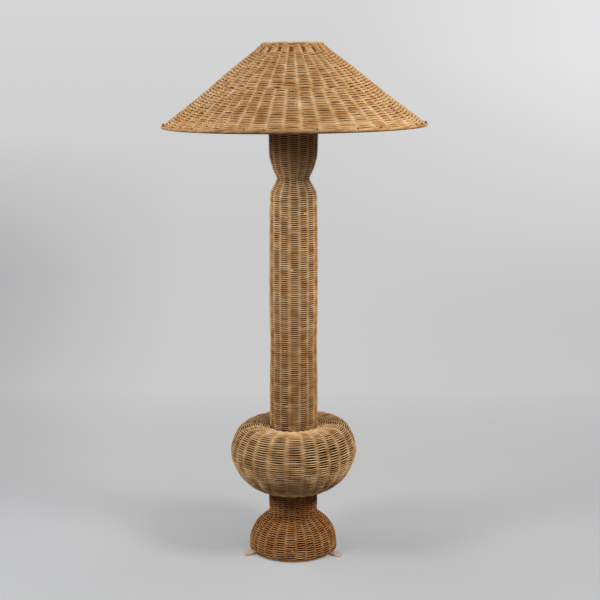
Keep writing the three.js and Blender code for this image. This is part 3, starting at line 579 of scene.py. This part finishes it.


# A weave: its outline, its sizes, how it is set askew and its tones. Weavers wander along the row, press
# into each other, are paler or darker where they cross over a stake, as painted light and shade, and are
# knocked up or down by a share of a row
class Weave:
    def __init__(
        self, outline, sizes, seed, settle, tones, wander=0.012, press=0.2, crest=0.0, knock=0.09, patches=13
    ):
        self.thick, self.tall, self.stake, self.pitch = (size * MM for size in sizes)
        self.outline, self.settle = outline, settle
        self.tones = np.array(tones, float).T
        self.swing = self.stake + (1 - press) * self.thick
        self.reach = self.swing + self.thick
        self.rng = rng = np.random.default_rng(seed)
        self.waves = [(rng.integers(1, 5), rng.uniform(20, 60), rng.uniform(0, TURN)) for _ in range(4)]
        self.wander, self.crest, self.knock = wander, crest, knock
        self.stains = self.rng.uniform((2, 25, 0, 0), (patches, 130, TURN, TURN), (9, 4)).T

    def strands(self):
        return Strands(self.settle)

    def ripple(self, angle, place):
        return sum(np.sin(n * angle + f * place + start) for n, f, start in self.waves) / len(self.waves)

    # Stains a bay or two wide, from about -1 to 1
    def stain(self, angle, place):
        patches = [np.sin(round(n) * angle + a) * np.sin(f * place + b) for n, f, a, b in self.stains.T]
        return sum(patches) / len(patches) * 2.8

    # The angle of a point that lies a number of bays round from the first stake
    def angle(self, bays, stakes, place):
        around = np.append(stakes, stakes[0] + TURN)
        angle = np.interp(bays, np.arange(len(around)), around)
        return angle + self.wander * self.ripple(angle, place * 0.2)

    # Rows of weavers, over one stake and under the next: one spiral round an odd number of stakes, rings
    # round an even one, of which as many as go together take the same stakes
    def rows(self, strands, stakes, start, end, reed_length, warm_share, first=0, together=1):
        bays_round, steps = len(stakes), BAY_STEPS
        spiral = bays_round % 2 == 1
        count = max(1, round((end - start) / self.pitch))
        height = (end - start) / count
        for begin in [0] if spiral else range(count):
            turns = count if spiral else 1
            along = np.arange(turns * bays_round * steps + (1 if spiral else 0)) / steps
            row = np.minimum(along // bays_round, turns - 1)
            bays = along - row * bays_round
            place = start + height * (begin + (along / bays_round if spiral else 0.5))
            angle = self.angle(bays, stakes, place)
            crossing = bays + (row + first) * bays_round
            if not spiral:
                crossing = crossing + (begin + first) // together
            over = np.cos(math.pi * crossing)
            knock = self.rng.normal(0, self.knock, turns * bays_round + 2)
            nudge = np.interp(along, np.arange(len(knock)), knock) * over**2
            if not spiral:
                nudge[-steps:] *= np.linspace(1, 0, steps)
                nudge[:steps] *= np.linspace(0, 1, steps)
            place = place + height * (nudge + 0.3 * self.ripple(angle, place))
            place = np.clip(place, start + 0.2 * height, end - 0.2 * height)
            radius, level, out_r, out_z = self.outline.at(place, self.reach - self.swing * over)
            path = around(angle, radius, level)
            outward = around(angle, out_r, out_z)
            length = lengths_along(path)
            length += self.rng.uniform(0, reed_length)
            tint = weaver_tints(length, self.rng, reed_length, warm_share, over, 0, self.crest, 0.08)
            stain = self.stain(angle, place)
            tint[:, 0] += np.interp(level, self.tones[0], self.tones[1]) + 0.2 * stain
            tint[:, 1] += np.interp(level, self.tones[0], self.tones[2]) + 0.5 * np.clip(-stain - 0.2, 0, 1)
            # Where crest is below zero the crossings over a stake are drawn redder as well: painted shade of the
            # shade's cells
            tint[:, 1] -= 0.25 * self.crest * smooth(over, 0, 0.9)
            tint = np.clip(tint, 0, 1)
            row_points = bays_round * steps
            strands.add(path, outward, self.thick, self.tall, 6, tint, not spiral, row_points)
        return count

    def stand(self, strands, stakes, start, end, spacing=12 * MM):
        count = max(2, int((end - start) / spacing))
        place = np.linspace(start, end, count)
        for i in range(len(stakes)):
            angle = self.angle(np.full(count, float(i)), stakes, place)
            radius, level, out_r, out_z = self.outline.at(place, self.reach)
            # Stakes are drawn dark, low in tone and mostly in the painted shade colour, as they show only in the
            # shaded gaps
            tint = (self.rng.uniform(0, 0.2), self.rng.uniform(0.2, 0.5), 0.85, 0)
            path, outward = around(angle, radius, level), around(angle, out_r, out_z)
            strands.add(path, outward, self.stake, self.stake, 6, tint)
        return strands

    # Cut ends of weavers that stand a little proud of the weave
    def ends(self, strands, count, start, end):
        for _ in range(count):
            place = self.rng.uniform(start, end)
            angle = self.rng.uniform(0, TURN)
            length, lift = self.rng.uniform(6, 13) * MM, self.rng.uniform(1.5, 4) * MM
            share = np.linspace(0, 1, 4)
            place = place + self.rng.uniform(-0.3, 0.3) * length * share
            radius, level, out_r, out_z = self.outline.at(place, self.thick * 1.4 - lift * share**2)
            angles = angle + self.rng.choice([-1, 1]) * length * share / radius
            tint = (self.rng.uniform(0.6, 0.95), self.rng.uniform(0, 0.3), 0, 0)
            thin = self.thick * np.array([1, 1, 0.9, 0.6])
            path, outward = around(angles, radius, level), around(angles, out_r, out_z)
            strands.add(path, outward, thin, thin, 5, tint)
        return strands


# A border of three reeds that roll round each other, in the line of the weave's outline
def rolled_border(weave, name, place, depth, reed, swing, rolls, look, lift=None, tone=0.0, warm=0.25):
    strands = Strands(weave.settle)
    steps = rolls * 14
    angle = np.arange(steps) / steps * TURN
    for i in range(3):
        roll = angle * rolls + i / 3 * TURN + 0.2 * np.sin(angle * 7 + i)
        radius, level, out_r, out_z = weave.outline.at(place, depth - swing[0] * np.cos(roll))
        step_r, step_z = -out_z, out_r
        radius, level = radius + swing[1] * np.sin(roll) * step_r, level + swing[1] * np.sin(roll) * step_z
        path = around(angle, radius, level + (lift(angle) if lift else 0))
        outward = around(angle, out_r + 0 * angle, out_z)
        # The reeds are drawn paler where they roll to the outside and darker where they roll inward and
        # underneath: painted light and shade
        tint = weaver_tints(angle * radius.mean(), weave.rng, 0.25, warm, np.cos(roll) + 0.9, tone)
        tint[:, 3] *= 0.3
        strands.add(path, outward, reed[0], reed[1], 8, tint, closed=True, under=0.8)
    return strands.build(name, *look)


# Dark cut ends that are tucked into the rim border, at uneven places: each goes along the weave and stands
# out of it, in millimetres
RIM_ENDS = 22
RIM_END_PLACES = np.linspace(6.5, 0.5, 4) * MM
RIM_END_DEPTHS = np.array([0, -3.2, -3.4, -1.6]) * MM


def rim_ends(weave):
    strands = weave.strands()
    for i in range(RIM_ENDS):
        angle = (i + 0.3 * math.sin(2.6 * i)) / RIM_ENDS * TURN + np.array([0, 0.0005, 0.001, 0.0015])
        radius, level, out_r, out_z = weave.outline.at(RIM_END_PLACES, RIM_END_DEPTHS)
        thin = weave.thick * np.array([0.6, 0.8, 0.8, 0.5])
        outward = around(angle, out_r, out_z)
        # Their dark colour is the painted shade colour, given through the tint's shade channel
        strands.add(around(angle, radius, level), outward, thin, thin, 6, (0.1, 0.2, 0.85, 0))
    return strands.build("shade_rim_ends", shade_reed, "shade", "shade_reed")


# The border of the base rises where a foot comes out under it
def over_the_feet(angle):
    lift = 0 * angle
    for name in ("foot_left", "foot_right", "foot_rear"):
        centre = middle_of(name)
        away = np.angle(np.exp(1j * (angle - math.atan2(centre.y, centre.x))))
        lift = lift + 1.2 * MM * (1 - smooth(np.abs(away), math.radians(4), math.radians(9)))
    return lift


# A profile spun round the lamp's axis into one closed or open shell
def turn_profile(name, profile, steps=60):
    mesh = bpy.data.meshes.new(name)
    edges = [(i, i + 1) for i in range(len(profile) - 1)]
    mesh.from_pydata([(float(radius), 0, float(height)) for radius, height in profile], edges, [])
    turned = new_object(name, mesh)
    select_only(turned)
    bpy.ops.object.mode_set(mode="EDIT")
    bpy.ops.mesh.select_all(action="SELECT")
    bpy.ops.mesh.spin(steps=steps, angle=TURN, center=(0, 0, 0), axis=(0, 0, 1))
    bpy.ops.mesh.select_all(action="SELECT")
    bpy.ops.mesh.remove_doubles(threshold=0.01 * MM)
    bpy.ops.mesh.normals_make_consistent(inside=False)
    bpy.ops.object.mode_set(mode="OBJECT")
    bpy.ops.object.shade_smooth_by_angle(angle=math.radians(32))
    return turned


# A dark lining behind a weave of the stand keeps the light from showing through. It is painted shade: the real
# lamp has only its shaded inside there
def line_weave(weave, name, node_slot):
    places = np.linspace(2 * MM, weave.outline.length - 2 * MM, 48)
    radius, level, _, _ = weave.outline.at(places, 2 * weave.reach + 0.2 * MM)
    lining = turn_profile(name, np.column_stack([radius, level]))
    move_points(lining, weave.settle)
    finish_piece(lining, shade_lining, "stand", node_slot)


def weave_base():
    dome = spread(DOME_SHARES, NECK_RADIUS, BASE_RADIUS, DOME_HEIGHT, RIM_Z)
    outline = Outline([*dome, (NECK_RADIUS, (dome[-1][1] + NECK_TOP_Z) / 2), (NECK_RADIUS, NECK_TOP_Z)])
    weave = Weave(outline, BASE_SIZES, 11, lean, BASE_TONES, knock=0.12)
    look = (base_reed, "stand", "base_reed")
    stakes = stand_stakes(*BASE_STAKES)
    strands = weave.strands()
    weave.rows(strands, stakes, 4 * MM, outline.length - 1 * MM, reed_length=0.6, warm_share=0.4)
    strands.build("base_reed", *look, "base_weave")
    line_weave(weave, "base_shade_lining", "base_reed")
    weave.stand(weave.strands(), stakes, 4 * MM, outline.length).build("base_stakes", *look)
    weave.ends(weave.strands(), 14, 20 * MM, 90 * MM).build("base_ends", *look)
    reed, swing = (2.1 * MM, 2.1 * MM), (1.3 * MM, 1.2 * MM)
    shape = (1 * MM, 3.4 * MM, reed, swing, 9, look)
    # The base's border is drawn darker and redder: partly its own colour, partly painted shade where it curves
    # under
    rolled_border(weave, "base_border", *shape, lift=over_the_feet, tone=-0.55, warm=0.9)


def weave_belly():
    height = BELLY_TOP_Z - NECK_TOP_Z
    lower = spread(BELLY_LOWER_SHARES, NECK_RADIUS, BELLY_RADIUS, height, NECK_TOP_Z)
    upper = spread(BELLY_UPPER_SHARES, COLUMN_RADIUS, BELLY_RADIUS, height, NECK_TOP_Z)
    outline = Outline([*lower, *upper])
    weave = Weave(outline, BELLY_SIZES, 21, lean_belly, BELLY_TONES, knock=0.15, patches=20)
    look = (belly_reed, "stand", "belly_reed")
    stakes = stand_stakes(*BELLY_STAKES)
    strands = weave.strands()
    weave.rows(strands, stakes, 0, outline.length, reed_length=0.8, warm_share=0.2, first=1)
    strands.build("belly_reed", *look, "bulb_weave")
    line_weave(weave, "belly_shade_lining", "belly_reed")
    weave.stand(weave.strands(), stakes, 0, outline.length).build("belly_stakes", *look)
    weave.ends(weave.strands(), 22, 60 * MM, 300 * MM).build("belly_ends", *look)


# The column and the cup are one weave, drawn in between them by a binding
def weave_column():
    column_height, cup_height = PINCH_Z - BELLY_TOP_Z, CUP_TOP_Z - PINCH_Z
    column = spread([*COLUMN_SHARES, *SHOULDER_SHARES], 0, COLUMN_RADIUS, column_height, BELLY_TOP_Z)
    foot = (COLUMN_RADIUS, BELLY_TOP_Z - 7 * MM)
    outline = Outline([foot, *column, *spread(CUP_SHARES, PINCH_RADIUS, CUP_RADIUS, cup_height, PINCH_Z)])
    pinch = np.interp(PINCH_Z, outline.points[:, 1], outline.places)
    weave = Weave(outline, COLUMN_SIZES, 31, lean, COLUMN_TONES, knock=0.11)
    look = (column_reed, "stand", "column_reed")
    stakes = stand_stakes(*COLUMN_STAKES)
    strands = weave.strands()
    turns = weave.rows(strands, stakes, 0, pinch, reed_length=0.6, warm_share=0.08)
    strands.build("column_reed", *look, "column_weave")
    line_weave(weave, "column_shade_lining", "column_reed")
    weave.stand(weave.strands(), stakes, 0, pinch).build("column_stakes", *look)
    weave.ends(weave.strands(), 36, 20 * MM, pinch).build("column_ends", *look)
    strands = weave.strands()
    cup_end = outline.length - 7 * MM
    weave.rows(strands, stakes, pinch, cup_end, reed_length=0.6, warm_share=0.3, first=turns)
    strands.build("cup_reed", *look, "cup_weave")
    weave.stand(weave.strands(), stakes, pinch, outline.length - 3 * MM).build("cup_stakes", *look)
    reed, swing = (1.7 * MM, 1.9 * MM), (1.5 * MM, 1.9 * MM)
    rolled_border(weave, "cup_border", outline.length - 4.2 * MM, 3.4 * MM, reed, swing, 6, look)


# The shade has more stakes in its lower part, its rows lie closer by the rim, and the rows of a band under
# its top all take the same stakes
def weave_shade():
    height = SHADE_TOP_Z - SHADE_RIM_Z
    outline = Outline(spread(SHADE_SHARES, SHADE_TOP_RADIUS, SHADE_RIM_RADIUS, height, SHADE_RIM_Z))
    rim_end, close_end, low_end, high_end = 3 * MM, 38 * MM, 190 * MM, outline.length - 40 * MM
    band_end, top_end = high_end + 27 * MM, outline.length - 5 * MM
    # The shade's cells round the stakes are drawn darker and redder, as painted shade
    manner = {"wander": 0.008, "press": 0.4, "crest": -0.32, "knock": 0.17, "patches": 34}
    weave = Weave(outline, SHADE_SIZES, 51, tilt_shade, SHADE_TONES, **manner)
    look = (shade_reed, "shade", "shade_reed")
    reeds = {"reed_length": 0.7, "warm_share": 0.14}
    top_reeds = {"reed_length": 0.7, "warm_share": 0.22}
    strands = weave.strands()
    low, high = stand_stakes(*SHADE_LOW_STAKES), stand_stakes(*SHADE_HIGH_STAKES)
    usual = weave.pitch, weave.tall
    weave.pitch, weave.tall = 4.4 * MM, 4 * MM
    close = weave.rows(strands, low, rim_end, close_end, **reeds)
    weave.pitch, weave.tall = usual
    weave.rows(strands, low, close_end, low_end, **reeds, first=close % 2)
    weave.rows(strands, high, low_end, high_end, **reeds)
    weave.rows(strands, high, high_end, band_end, **top_reeds, first=9, together=9)
    weave.rows(strands, high, band_end, top_end, **top_reeds)
    strands.build("shade_reed", *look, "shade_weave")
    stakes = weave.strands()
    weave.stand(stakes, low, 0, low_end + 4 * MM)
    weave.stand(stakes, high, low_end - 4 * MM, outline.length)
    stakes.build("shade_stakes", *look)
    reed, swing = (4.1 * MM, 4.1 * MM), (1.7 * MM, 1.7 * MM)
    rolled_border(weave, "shade_rim_border", 2 * MM, 3 * MM, reed, swing, 20, look, tone=-0.42)
    rim_ends(weave)
    reed, swing = (2.6 * MM, 2.6 * MM), (1.6 * MM, 1.6 * MM)
    shape = (outline.length, 2.4 * MM, reed, swing, 9, look)
    rolled_border(weave, "shade_top_border", *shape, tone=-0.2, warm=0.5)
    make_shade_frame(weave)


# A round rod bent along a route
def bend_rod(name, route, radius):
    curve = bpy.data.curves.new(name, "CURVE")
    curve.dimensions = "3D"
    curve.bevel_depth, curve.bevel_resolution, curve.resolution_u, curve.use_fill_caps = radius, 4, 8, True
    line = curve.splines.new("BEZIER")
    line.bezier_points.add(len(route) - 1)
    for point, place in zip(line.bezier_points, route):
        point.co = place
        point.handle_left_type = point.handle_right_type = "AUTO"
    select_only(new_object(name, curve))
    bpy.ops.object.convert(target="MESH")
    return bpy.context.object


# A ring bent from rod
def bend_ring(radius, height, rod):
    bpy.ops.object.select_all(action="DESELECT")
    bpy.ops.mesh.primitive_torus_add(
        location=(0, 0, height), major_radius=radius, minor_radius=rod, major_segments=96, minor_segments=12
    )
    bpy.ops.object.shade_smooth()
    return bpy.context.object


def join_pieces(name, pieces):
    select_only(*pieces)
    bpy.ops.object.join()
    joined = bpy.context.object
    bpy.ops.object.transform_apply(location=True, rotation=True, scale=True)
    joined.name = joined.data.name = name
    return joined


# The spider's hub stays level on the harp, and only its arms go with the tilt
def tilt_arms(points):
    share = smooth(np.hypot(points[:, 0], points[:, 1]), 18 * MM, 60 * MM)[:, None]
    return points + share * (tilt_shade(points.copy()) - points)


# The shade's frame lies against the inside of the weave, and its spider's arms reach up to the top ring
def make_shade_frame(weave):
    def inside(place, rod):
        radius, level, _, _ = weave.outline.at(place, 2 * weave.reach + rod + 0.6 * MM)
        return float(radius), float(level)

    low, high = 9 * MM, weave.outline.length - 6 * MM
    rib_rod, rim_rod, arm_rod = 2.5 * MM, 3 * MM, 2 * MM
    rings = [bend_ring(*inside(low, rim_rod), rim_rod), bend_ring(*inside(high, rib_rod), rib_rod)]
    places = np.linspace(low, high, 9)
    ribs = []
    for i in range(10):
        angle = i / 10 * TURN - TURN / 4
        route = [around(angle, *inside(place, rib_rod)) for place in places]
        ribs.append(bend_rod("rib", route, rib_rod))
    iron = join_pieces("shade_frame_rods", [*rings, *ribs])
    move_points(iron, tilt_shade)
    finish_piece(iron, dark_iron, "shade", "iron_rod", "shade_frame")

    hub_low, hub_radius, bore, thickness = low_of("shade_spider").z, 16 * MM, 3.4 * MM, 2.4 * MM
    ring_radius, ring_level = inside(high, rib_rod)
    reach, rise = ring_radius - rib_rod - arm_rod, ring_level - hub_low
    arms = []
    for i in range(3):
        angle = i / 3 * TURN - TURN / 4
        route = [(hub_radius * 0.6, thickness / 2), (0.8 * reach, 0.06 * rise), (0.94 * reach, 0.16 * rise)]
        route += [(reach, 0.42 * rise), (reach, 0.96 * rise)]
        arms.append(bend_rod("arm", [around(angle, r, hub_low + z) for r, z in route], arm_rod))
    bpy.ops.object.select_all(action="DESELECT")
    bpy.ops.mesh.primitive_circle_add(vertices=48, radius=bore, location=(0, 0, hub_low))
    hub = bpy.context.object
    bpy.ops.object.mode_set(mode="EDIT")
    bpy.ops.mesh.select_all(action="SELECT")
    bpy.ops.mesh.extrude_region_move()
    bpy.ops.transform.resize(value=[hub_radius / bore] * 3, center_override=(0, 0, hub_low))
    bpy.ops.mesh.select_all(action="SELECT")
    bpy.ops.mesh.extrude_region_move(TRANSFORM_OT_translate={"value": (0, 0, thickness)})
    bpy.ops.mesh.select_all(action="SELECT")
    bpy.ops.mesh.normals_make_consistent(inside=False)
    bpy.ops.object.mode_set(mode="OBJECT")
    edges = hub.modifiers.new("Edges", "BEVEL")
    edges.width, edges.segments, edges.limit_method = 0.5 * MM, 3, "ANGLE"
    bpy.ops.object.modifier_apply(modifier="Edges")
    bpy.ops.object.shade_smooth_by_angle(angle=math.radians(35))
    spider = join_pieces("shade_spider_arms", [hub, *arms])
    move_points(spider, tilt_arms)
    finish_piece(spider, brass, "shade", "brass", "shade_spider")


# Turned hardware: radius and height in millimetres, from the piece's own lowest point
FINIAL_PROFILE = [
    (3.4, 0), (6.1, 0), (6.5, 0.4), (6.5, 4.4), (6.1, 5), (5.1, 6), (4.6, 7.4), (4.6, 9.4), (5, 10.2),
]
FERRULE_PROFILE = [
    (2.5, 0), (3.9, 0), (4.2, 0.3), (4.2, 2.2), (3.8, 2.8), (3.4, 11.6), (3, 12), (2.5, 12), (2.5, 0),
]
BULB_CAP_PROFILE = [(0, 0), (4.2, 0), (5, 0.8), (5.6, 1.6), (11.2, 3.8), (12, 4.8), (12, 6)]
BULB_GLASS_PROFILE = [
    (12, 0), (13.1, 10.1), (19.6, 25.2), (27.5, 42), (30, 55.4), (27, 67.2), (19.8, 76.4), (10.2, 82.3), (0, 84),
]

# The harp's wire on one side, across and up in millimetres from a level that far under the harp's top,
# and the boss with its stud, turned on top of the wire
HARP_RISE = 216 * MM
HARP_ROUTE = [
    (31, 14.3), (31, 22), (31, 34), (36.3, 43), (49.5, 71.3), (55, 107),
    (52.2, 140.6), (40.7, 170.3), (23.1, 189.1), (7.2, 195), (0, 198),
]
BOSS_HEIGHT = 195
BOSS_PROFILE = [(0, 0), (5.1, 0), (5.5, 0.4), (5.5, 6), (8.1, 6), (8.5, 6.4), (8.5, 7.6), (8.1, 8), (3.1, 8)]


def turn_hardware(name, profile, node, material, body, slot):
    place = middle_of(node)
    turned = turn_profile(name, [(radius * MM, height * MM) for radius, height in profile], 48)
    turned.data.transform(Matrix.Translation((place.x, place.y, low_of(node).z)))
    return finish_piece(turned, material, body, slot, node)


def make_hardware():
    ball = [(9.5 * math.cos(a), 19.5 + 9.5 * math.sin(a)) for a in np.radians(np.linspace(-58, 84, 18))]
    finial = [*FINIAL_PROFILE, *ball, (0, 29), (0, 12), (3.4, 12), (3.4, 0)]
    turn_hardware("finial_ball", finial, "finial", brass, "finial", "brass")
    for side in ("left", "right"):
        ferrule = "ferrule_" + side
        turn_hardware(ferrule + "_sleeve", FERRULE_PROFILE, ferrule, brass, ferrule, "brass")
    thread = [(13 - 0.8 * (i % 2), 6.6 + 1.5 * i) for i in range(10)]
    cap = [*BULB_CAP_PROFILE, *thread, (12.3, 22), (12.3, 25), (12.9, 25.6), (12.9, 26), (0, 26)]
    turn_hardware("bulb_cap_thread", cap, "bulb_cap", aluminium, "light_bulb", "cap_aluminium")
    glass = Outline(BULB_GLASS_PROFILE, 2)
    outer = [(max(radius, 0), height) for radius, height in glass.points]
    inner = [(max(radius, 0), height) for radius, height, _, _ in (glass.at(p, 1) for p in glass.places)]
    inner[-1] = (0, 83)
    glass = [*outer, *reversed(inner), outer[0]]
    turn_hardware("bulb_globe", glass, "bulb_glass", opal_glass, "light_bulb", "opal_glass")
    foot = high_of("harp").z - HARP_RISE
    side = [(across * MM, 0, foot + up * MM) for across, up in HARP_ROUTE]
    wire = bend_rod("wire", [*side, *[(-x, y, z) for x, y, z in reversed(side[:-1])]], 1.9 * MM)
    stud = [(3.1 - 0.35 * (i % 2), 8.4 + 0.5 * i) for i in range(24)]
    boss = [*BOSS_PROFILE, *stud, (2.6, 21), (0, 21)]
    boss = [(radius * MM, foot + (BOSS_HEIGHT + height) * MM) for radius, height in boss]
    boss = turn_profile("boss", boss, 32)
    finish_piece(join_pieces("harp_wire", [wire, boss]), brass, "stand", "brass", "harp")


# A foot is a pale board that thins out to a rounded tip and rises to a heel against the base. Each section
# has its share of the length, half its width and its height in millimetres
FOOT_START = (11, 4.5)
FOOT_LIFT = 0.3 * MM
FOOT_SECTIONS = [
    (0.6, 11, 4.5),
    (0.03, 11.5, 8),
    (0.13, 11.5, 8.6),
    (0.05, 11.5, 8.2),
    (0.06, 11, 4.8),
    (0.08, 10.5, 4.2),
    (0.035, 8, 3.6),
    (0.015, 4.5, 2.6),
]


def make_feet():
    low, high = low_of("foot_rear"), high_of("foot_rear")
    inner, length = low.y, high.y - low.y
    bpy.ops.object.select_all(action="DESELECT")
    bpy.ops.mesh.primitive_cube_add(size=1, location=(0, inner - 0.5 * MM, 0))
    foot = bpy.context.object
    width, height = FOOT_START
    for vertex in foot.data.vertices:
        across, along, up = vertex.co
        vertex.co = (across * 2 * width * MM, along * 1 * MM, (up + 0.5) * height * MM + FOOT_LIFT)
    reached = inner
    for share, half_width, top in FOOT_SECTIONS:
        bpy.ops.object.mode_set(mode="OBJECT")
        far = max(v.co.y for v in foot.data.vertices)
        for part in (*foot.data.vertices, *foot.data.edges, *foot.data.polygons):
            part.select = False
        for face in foot.data.polygons:
            face.select = all(foot.data.vertices[i].co.y > far - 0.01 * MM for i in face.vertices)
        bpy.ops.object.mode_set(mode="EDIT")
        bpy.ops.mesh.extrude_region_move(TRANSFORM_OT_translate={"value": (0, share * length, 0)})
        reached += share * length
        centre = (0, reached, FOOT_LIFT)
        scale = (half_width / width, 1, top / height)
        bpy.ops.transform.resize(value=scale, center_override=centre)
        width, height = half_width, top
    bpy.ops.object.mode_set(mode="OBJECT")
    bevel = foot.modifiers.new("Edges", "BEVEL")
    bevel.width, bevel.segments = 1.6 * MM, 3
    bevel.limit_method, bevel.angle_limit = "ANGLE", math.radians(40)
    bpy.ops.object.modifier_apply(modifier="Edges")
    bpy.ops.object.transform_apply(location=True)
    bpy.ops.object.shade_smooth_by_angle(angle=math.radians(35))
    for name in ("left", "right", "rear"):
        centre = middle_of("foot_" + name)
        piece = new_object("foot_board_" + name, foot.data.copy())
        piece.data.transform(Matrix.Rotation(math.atan2(-centre.x, centre.y), 4, "Z"))
        finish_piece(piece, pale_wood, "stand", "pale_wood", "foot_" + name)
    bpy.data.objects.remove(foot)


# Finishes of the frame's own nodes
NODE_FINISHES = {
    dark_iron: [
        "base_frame", "bulb_frame", "column_frame",
        "junction_plate_lower", "junction_plate_upper", "cup_plate",
    ],
    cast_iron: ["ballast_plate"],
    zinc: ["foot_screw_left", "foot_screw_right", "foot_screw_rear", "stem_pipe", "base_washer", "base_nut"],
    brass: ["top_nut", "socket_cap", "socket_shell", "screw_shell", "centre_contact", "harp_saddle"],
    resin: ["cord_bushing", "socket_interior", "switch_knob"],
    fibre_board: ["insulating_sleeve"],
}


def finish_nodes():
    for material, names in NODE_FINISHES.items():
        for name in names:
            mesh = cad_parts[name].data
            mesh.materials.clear()
            mesh.materials.append(material)


# The camera stands 3.58 m in front of the lamp's middle, at shade height
CAMERA_PLACE = (0.0194, -3.5796, 1.5227)
CAMERA_TILT = math.radians(90 - 11.18)


def make_camera():
    data = bpy.data.cameras.new("camera")
    data.lens = 70
    data.sensor_width = 36
    camera = new_object("camera", data)
    camera.location = CAMERA_PLACE
    camera.rotation_euler = (CAMERA_TILT, 0, 0)
    bpy.context.scene.camera = camera


# A floor that sweeps up into a backdrop
SWEEP_WIDTH = 14
SWEEP_DEPTH = 8
SWEEP_BEND = 1.6
SWEEP_STEPS = 12
WALL_HEIGHT = 4


def make_sweep():
    made, tree, shader = new_material("Studio paper")
    place = tree.object_place()
    parts = tree.add("ShaderNodeSeparateXYZ", None, {0: place}).outputs
    grain = tree.spread(tree.noise(place, 900.0, 2.0), 0.3, 0.7)
    floor = tree.mix(grain, colour(156, 157, 159), colour(160, 161, 163))
    tree.link(floor, shader.inputs["Base Color"])
    shader.inputs["Roughness"].default_value = 0.9
    shader.inputs["Specular IOR Level"].default_value = 0.1
    # Where the camera sees the backdrop it is a glow with painted light and shade: lighter higher up and to the
    # right, and a painted shadow low on the left
    wall = tree.mix(tree.spread(parts[2], 0.5, 1.9), colour(203, 203, 204), colour(213, 213, 214))
    right = tree.mix(tree.spread(parts[2], 0.1, 1.6), colour(196, 196, 197), colour(230, 230, 231))
    wall = tree.mix(tree.spread(parts[0], 0.2, 1.9), wall, right)
    low, left = tree.spread(parts[2], 1.1, 0.3), tree.spread(parts[0], -0.7, -2.0)
    wall = tree.mix(tree.math("MULTIPLY", low, left), wall, colour(174, 174, 176))
    glow = tree.add("ShaderNodeEmission", None, {"Color": wall})
    glow.inputs["Strength"].default_value = 1.0
    rays = tree.add("ShaderNodeLightPath").outputs
    seen = tree.math("MAXIMUM", rays["Is Camera Ray"], rays["Is Glossy Ray"])
    seen = tree.math("MAXIMUM", seen, rays["Is Transmission Ray"])
    back = tree.spread(parts[1], 0.6, 3.4)
    share = tree.math("MULTIPLY", seen, back)
    blend = tree.add("ShaderNodeMixShader", None, {0: share, 1: shader.outputs[0], 2: glow.outputs[0]})
    output = [node for node in made.node_tree.nodes if node.type == "OUTPUT_MATERIAL"][0]
    tree.link(blend.outputs[0], output.inputs["Surface"])
    bpy.ops.object.select_all(action="DESELECT")
    bpy.ops.mesh.primitive_plane_add(size=1, location=(0, -1.5, 0))
    sweep = bpy.context.object
    sweep.name = "sweep"
    bpy.ops.object.mode_set(mode="EDIT")
    bpy.ops.transform.resize(value=(SWEEP_WIDTH, SWEEP_DEPTH, 1))
    bpy.ops.mesh.select_all(action="DESELECT")
    bpy.ops.object.mode_set(mode="OBJECT")
    far = max(v.co.y for v in sweep.data.vertices)
    for edge in sweep.data.edges:
        edge.select = all(sweep.data.vertices[i].co.y > far - 0.01 for i in edge.vertices)
    bpy.ops.object.mode_set(mode="EDIT")
    for i in range(SWEEP_STEPS):
        before, after = (TURN / 4 * k / SWEEP_STEPS for k in (i, i + 1))
        back = SWEEP_BEND * (math.sin(after) - math.sin(before))
        rise = SWEEP_BEND * (math.cos(before) - math.cos(after))
        bpy.ops.mesh.extrude_region_move(TRANSFORM_OT_translate={"value": (0, back, rise)})
    bpy.ops.mesh.extrude_region_move(TRANSFORM_OT_translate={"value": (0, 0, WALL_HEIGHT)})
    bpy.ops.object.mode_set(mode="OBJECT")
    bpy.ops.object.shade_smooth()
    sweep.data.materials.append(made)


def add_light(name, place, target, size, power, shade=(1, 1, 1)):
    data = bpy.data.lights.new(name, "AREA")
    data.shape = "DISK"
    data.size = size
    data.energy = power
    data.color = shade
    light = new_object(name, data)
    light.location = place
    light.rotation_euler = (Vector(target) - Vector(place)).to_track_quat("-Z", "Y").to_euler()
    return light


# A place that many degrees round to the right of the front, at that distance and height
def stood_at(round_degrees, distance, height):
    side = math.radians(round_degrees)
    return Vector((distance * math.sin(side), -distance * math.cos(side), height))


# Where the lights point, and the colour of the key
AIM = (0, 0, 0.95)
WARM = (1, 0.985, 0.96)


def make_lights():
    world = bpy.data.worlds.new("studio")
    world.use_nodes = True
    background = world.node_tree.nodes["Background"]
    background.inputs["Color"].default_value = (1, 1, 1, 1)
    background.inputs["Strength"].default_value = 0.05
    bpy.context.scene.world = world
    add_light("key", stood_at(60, 2.1, 2.45), AIM, 0.9, 79, WARM)
    add_light("key_side", stood_at(36, 2.1, 2.0), AIM, 0.7, 14, WARM)
    add_light("fill", stood_at(-66, 2.1, 1.95), AIM, 0.9, 60)
    for name, side, power in (("back_left", -112, 27), ("back_right", 112, 17)):
        light = add_light(name, stood_at(side, 2.2, 2.0), AIM, 1.5, power)
        light.visible_glossy = False
    spark = add_light("spark", stood_at(9, 3.3, 1.0), (0, 0, 0.8), 0.05, 220)
    spark.visible_diffuse = False


weave_base()
weave_belly()
weave_column()
weave_shade()
make_feet()
make_hardware()
finish_nodes()
make_camera()
make_sweep()
make_lights()
bpy.context.scene.view_settings.view_transform = "Standard"
